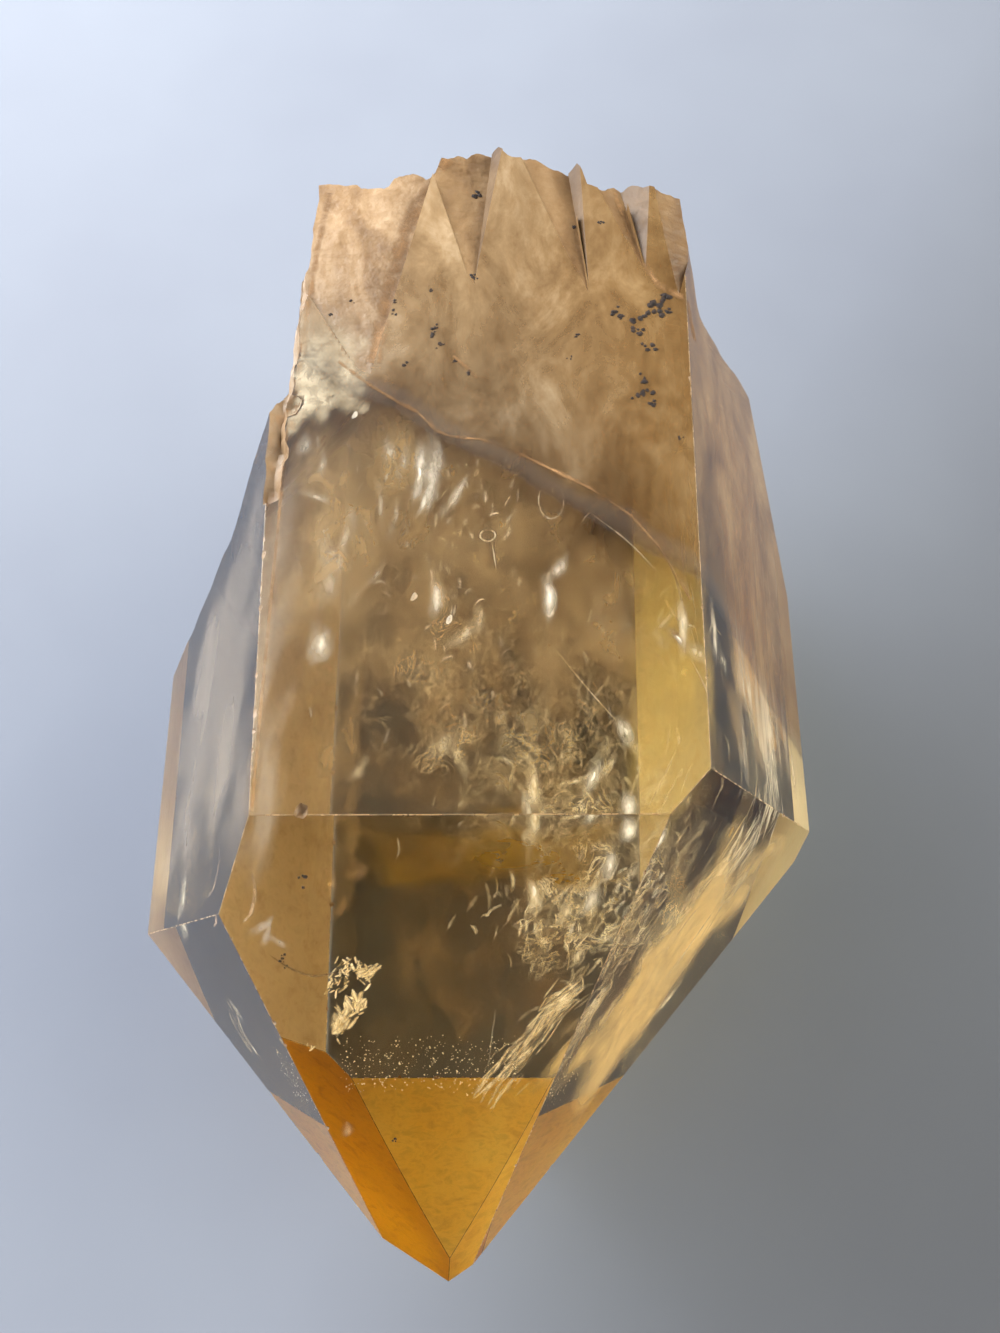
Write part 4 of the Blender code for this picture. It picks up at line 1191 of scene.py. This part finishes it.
def inclusions(skin):
    """Everything inside the crystal and on its upper side."""
    bright = solid_material("silver_inclusion", ((0.90, 0.90, 0.84), (1.0, 0.99, 0.94)), (0.25, 0.5), 1.2)
    dark = solid_material("dark_mineral", ((0.008, 0.006, 0.006), (0.03, 0.02, 0.016)), (0.6, 0.8), 2.0, 0.15)
    soft = {
        "silver": strand_material("silver_strand", ((0.80, 0.78, 0.64), (1.0, 0.98, 0.90))),
        "gold": strand_material("gold_strand", ((0.72, 0.57, 0.30), (1.0, 0.92, 0.70))),
        "cold": strand_material("cold_strand", ((0.55, 0.58, 0.62), (0.74, 0.78, 0.84))),
        "amber": strand_material("amber_strand", ((0.30, 0.15, 0.03), (0.52, 0.30, 0.08))),
        # Only the painted shadow stroke uses this dark strand material.
        "smoke": strand_material("painted_shadow_strand", ((0.14, 0.09, 0.05), (0.26, 0.18, 0.10))),
        "rose": strand_material("rose_strand", ((0.62, 0.46, 0.36), (0.80, 0.64, 0.52))),
        "brown": strand_material("brown_strand", ((0.10, 0.06, 0.03), (0.22, 0.14, 0.07))),
    }
    stain = veil_material(
        "iron_stain", ((0.10, 0.05, 0.02), (0.26, 0.15, 0.07)), (1.0, 1.0, 1.0), 0.8, 0.30, 0.56, 0.9)
    frost = veil_material(
        "frost", ((0.36, 0.30, 0.20), (0.57, 0.50, 0.37)), (1.0, 1.0, 1.0), 0.9, 0.22, 0.55, 0.9)
    veils = {
        "haze": veil_material(
            "haze_veil", ((0.28, 0.17, 0.055), (0.50, 0.35, 0.16)), (1.0, 0.6, 1.0), 0.42, 0.26, 0.68, 0.55),
        "smoke": veil_material(
            "smoke_veil", ((0.21, 0.12, 0.04), (0.385, 0.25, 0.10)), (1.0, 0.6, 1.0), 0.34, 0.32, 0.70, 0.6),
        "mist": veil_material(
            "mist_veil", ((0.28, 0.18, 0.07), (0.47, 0.34, 0.17)), (1.0, 0.6, 1.0), 0.6, 0.08, 0.70, 0.8),
        "rust": veil_material(
            "rust_veil", ((0.17, 0.085, 0.003), (0.29, 0.165, 0.008)), (0.7, 1.0, 1.0), 0.5, 0.06, 0.50, 0.92, 0.5),
        "milk": veil_material(
            "milk_veil", ((0.20, 0.12, 0.05), (0.34, 0.24, 0.14)), (1.0, 0.6, 1.0), 0.14, 0.36, 0.66, 0.7),
        "wisp": veil_material(
            "wisp_veil", ((0.60, 0.48, 0.26), (0.80, 0.70, 0.50)), (1.0, 0.8, 1.0), 0.4, 0.42, 0.70, 0.7, 1.6),
        "thread": thread_material("thread_veil", ((0.72, 0.56, 0.28), (1.0, 0.94, 0.72)), 0.42, 0.045, 1.0),
        "fibre": thread_material("fibre_veil", ((0.44, 0.30, 0.12), (0.80, 0.64, 0.38)), 0.62, 0.05, 0.5),
        "streak": veil_material(
            "streak_veil", ((0.95, 0.86, 0.66), (1.0, 0.97, 0.86)), (1.0, 0.07, 1.0), 0.6, 0.42, 0.60, 1.0, 0.3),
        "gold_streak": veil_material(
            "gold_streak_veil", ((0.85, 0.68, 0.36), (1.0, 0.90, 0.62)), (1.0, 0.16, 1.0), 0.7, 0.38, 0.62, 1.0, 0.5),
        "pale_left": veil_material(
            "pale_left_veil", ((0.52, 0.46, 0.39), (0.62, 0.56, 0.49)), (1.0, 0.2, 1.0), 0.12, 0.0, 0.60, 0.5, 0.3),
        "pale_right": veil_material(
            "pale_right_veil", ((0.86, 0.58, 0.27), (1.0, 0.76, 0.42)), (1.0, 0.2, 1.0), 0.12, 0.0, 0.5, 0.85, 0.3),
        "pale_gold": veil_material(
            "pale_gold_veil", ((0.85, 0.62, 0.24), (1.0, 0.80, 0.40)), (1.0, 0.14, 1.0), 0.30, 0.10, 0.62, 0.95, 0.4),
        "gilt": veil_material(
            "gilt_veil", ((0.55, 0.38, 0.09), (0.68, 0.50, 0.14)), (1.0, 0.4, 1.0), 0.22, 0.15, 0.60, 0.55, 0.5),
    }
    for kind in soft:
        if any(row[-1] == kind for row in STROKES):
            strokes(f"{kind}_strokes", kind, soft[kind])
        if any(row[-1] == kind for row in STRANDS + LINES):
            strands(f"{kind}_strands", kind, soft[kind])
    sparkles(bright)
    tuft(soft["gold"])
    feather(soft["gold"])
    bubbles(bright)
    specks(skin, dark)
    stains(skin, stain)
    frosted_patch(skin, frost)
    crack_sheet(veils["milk"])
    for index, (corners, bulge, ripple, kind) in enumerate(VEILS):
        sheet(f"{kind}_veil_{index}", corners, veils[kind], bulge, ripple)


# The stage

CAMERA_PLACE = Vector((1.2805, -27.248, 119.508)) * MM
CAMERA_TARGET = Vector((1.5485, 8.102, 16.948)) * MM
CAMERA_ROLL = math.radians(0.727)
CAMERA_LENS = 27.03


def camera():
    """A wide phone lens close above the crystal, as in the photograph."""
    data = bpy.data.cameras.new("camera")
    data.lens = CAMERA_LENS
    data.sensor_width = 36.0
    data.clip_start = 0.001
    item = bpy.data.objects.new("camera", data)
    ahead = (CAMERA_TARGET - CAMERA_PLACE).normalized()
    right = ahead.cross(Vector((0.0, 0.0, 1.0))).normalized()
    turned = Matrix.Rotation(-CAMERA_ROLL, 3, ahead)
    right = turned @ right
    up = right.cross(ahead)
    item.matrix_world = Matrix((right, up, -ahead)).transposed().to_4x4()
    item.location = CAMERA_PLACE
    bpy.context.scene.collection.objects.link(item)
    bpy.context.scene.camera = item


def floor():
    """A pale floor with a painted light falloff: lightest at the upper left, towards the window, and darker towards the
    lower right.
    """
    mesh = bmesh.new()
    bmesh.ops.create_grid(mesh, x_segments=1, y_segments=1, size=1500.0)
    item = mesh_object("floor", mesh)
    item.data.transform(Matrix.Scale(MM, 4))
    item.location.z = -0.0001
    material, tree, shader, _ = new_material("floor")
    weave = noise_of(tree, place_of(tree), 0.02, 3.0)
    plain = ramp(tree, weave, (0.3, (0.146, 0.166, 0.212)), (0.7, (0.162, 0.185, 0.232)))
    # Painted light falloff: the floor's colour darkens from the window side at the upper left to the lower right.
    away = ramp(
        tree, along(tree, -60.0, 80.0, 0.9, -0.5),
        (0.0, (1.0, 1.0, 1.0)), (0.45, (0.82, 0.82, 0.82)), (0.75, (0.50, 0.49, 0.47)), (1.0, (0.32, 0.31, 0.29)),
    )
    tree.links.new(mixed(tree, 1.0, plain, away, "MULTIPLY"), shader.inputs["Base Color"])
    shader.inputs["Roughness"].default_value = 0.9
    item.data.materials.append(material)
    item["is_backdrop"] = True


def lights():
    """A large soft window at the upper left, and a soft room."""
    data = bpy.data.lights.new("window", "AREA")
    data.shape = "RECTANGLE"
    data.size, data.size_y = 0.30, 0.24
    data.energy = 2.8
    item = bpy.data.objects.new("window", data)
    item.location = (-0.26, 0.22, 0.20)
    item.rotation_euler = (-item.location).to_track_quat("-Z", "Y").to_euler()
    bpy.context.scene.collection.objects.link(item)
    world = bpy.data.worlds.new("room")
    bpy.context.scene.world = world
    world.use_nodes = True
    tree = world.node_tree
    where = node(tree, "ShaderNodeTexCoord").outputs["Generated"]
    side, low_right = (
        node(tree, "ShaderNodeVectorMath", {0: where, 1: towards}, operation="DOT_PRODUCT").outputs["Value"]
        for towards in ((-0.95, 0.30, 0.0), (0.93, 0.10, 0.35))
    )
    window_side = ramp(
        tree, math_of(tree, "MULTIPLY_ADD", side, 0.5, 0.5),
        (0.0, (0.25, 0.25, 0.255)), (0.2, (0.12, 0.12, 0.125)), (0.38, (0.010, 0.010, 0.011)),
        (0.5, (0.022, 0.022, 0.024)), (0.64, (0.10, 0.10, 0.105)), (0.82, (1.0, 1.0, 1.0)),
    )
    lamp_side = ramp(tree, low_right, (0.70, (0.0, 0.0, 0.0)), (0.94, (1.5, 1.38, 1.12)))
    glow = mixed(tree, 1.0, window_side, lamp_side, "ADD")
    background = tree.nodes["Background"]
    tree.links.new(glow, background.inputs["Color"])
    background.inputs["Strength"].default_value = 5.3


def stage():
    camera()
    floor()
    lights()
    scene = bpy.context.scene
    scene.view_settings.view_transform = "Standard"
    scene.cycles.max_bounces = 28
    scene.cycles.transmission_bounces = 24
    scene.cycles.glossy_bounces = 10
    scene.cycles.transparent_max_bounces = 48


stage()
body = crystal([
    face_material("citrine_face", (0.012, 0.08), 0.5, (0.035, 0.02), (1.0, 1.0, 1.0, 1.0)),
    # The two ledge copies carry painted shade, deepest on the steep ledges that face the window.
    face_material("citrine_ledge_painted_shade", (0.45, 0.65), 0.2, (0.5, 0.5), (0.90, 0.84, 0.78, 1.0)),
    face_material("citrine_steep_ledge_painted_shade", (0.5, 0.7), 0.1, (0.5, 0.3), (0.52, 0.47, 0.41, 1.0)),
    edge_material(),
    break_material(),
    film_material("citrine_amber", ((0.98, 0.64, 0.09), (1.0, 0.77, 0.17)), (0.62, 0.36, 0.06, 1.0), (0.12, 0.30), 0.3, 0.07),
    film_material("citrine_deep_amber", ((0.74, 0.36, 0.0), (0.90, 0.47, 0.0)), (0.45, 0.18, 0.0, 1.0), (0.08, 0.2), 0.3, 0.07),
    film_material("citrine_frost_left", ((0.50, 0.44, 0.40), (0.64, 0.57, 0.52)), (0.34, 0.27, 0.20, 1.0), (0.12, 0.25), 0.35, 0.06),
    film_material("citrine_frost_right", ((0.98, 0.97, 0.66), (1.0, 1.0, 0.78)), (0.86, 0.78, 0.48, 1.0), (0.06, 0.14), 0.35, 0.06),
])
skin = skin_of(body)
dress(body)
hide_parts(NODE)
inclusions(skin)

[[list(corner) for corner in box] for box in (cad_box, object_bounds())]
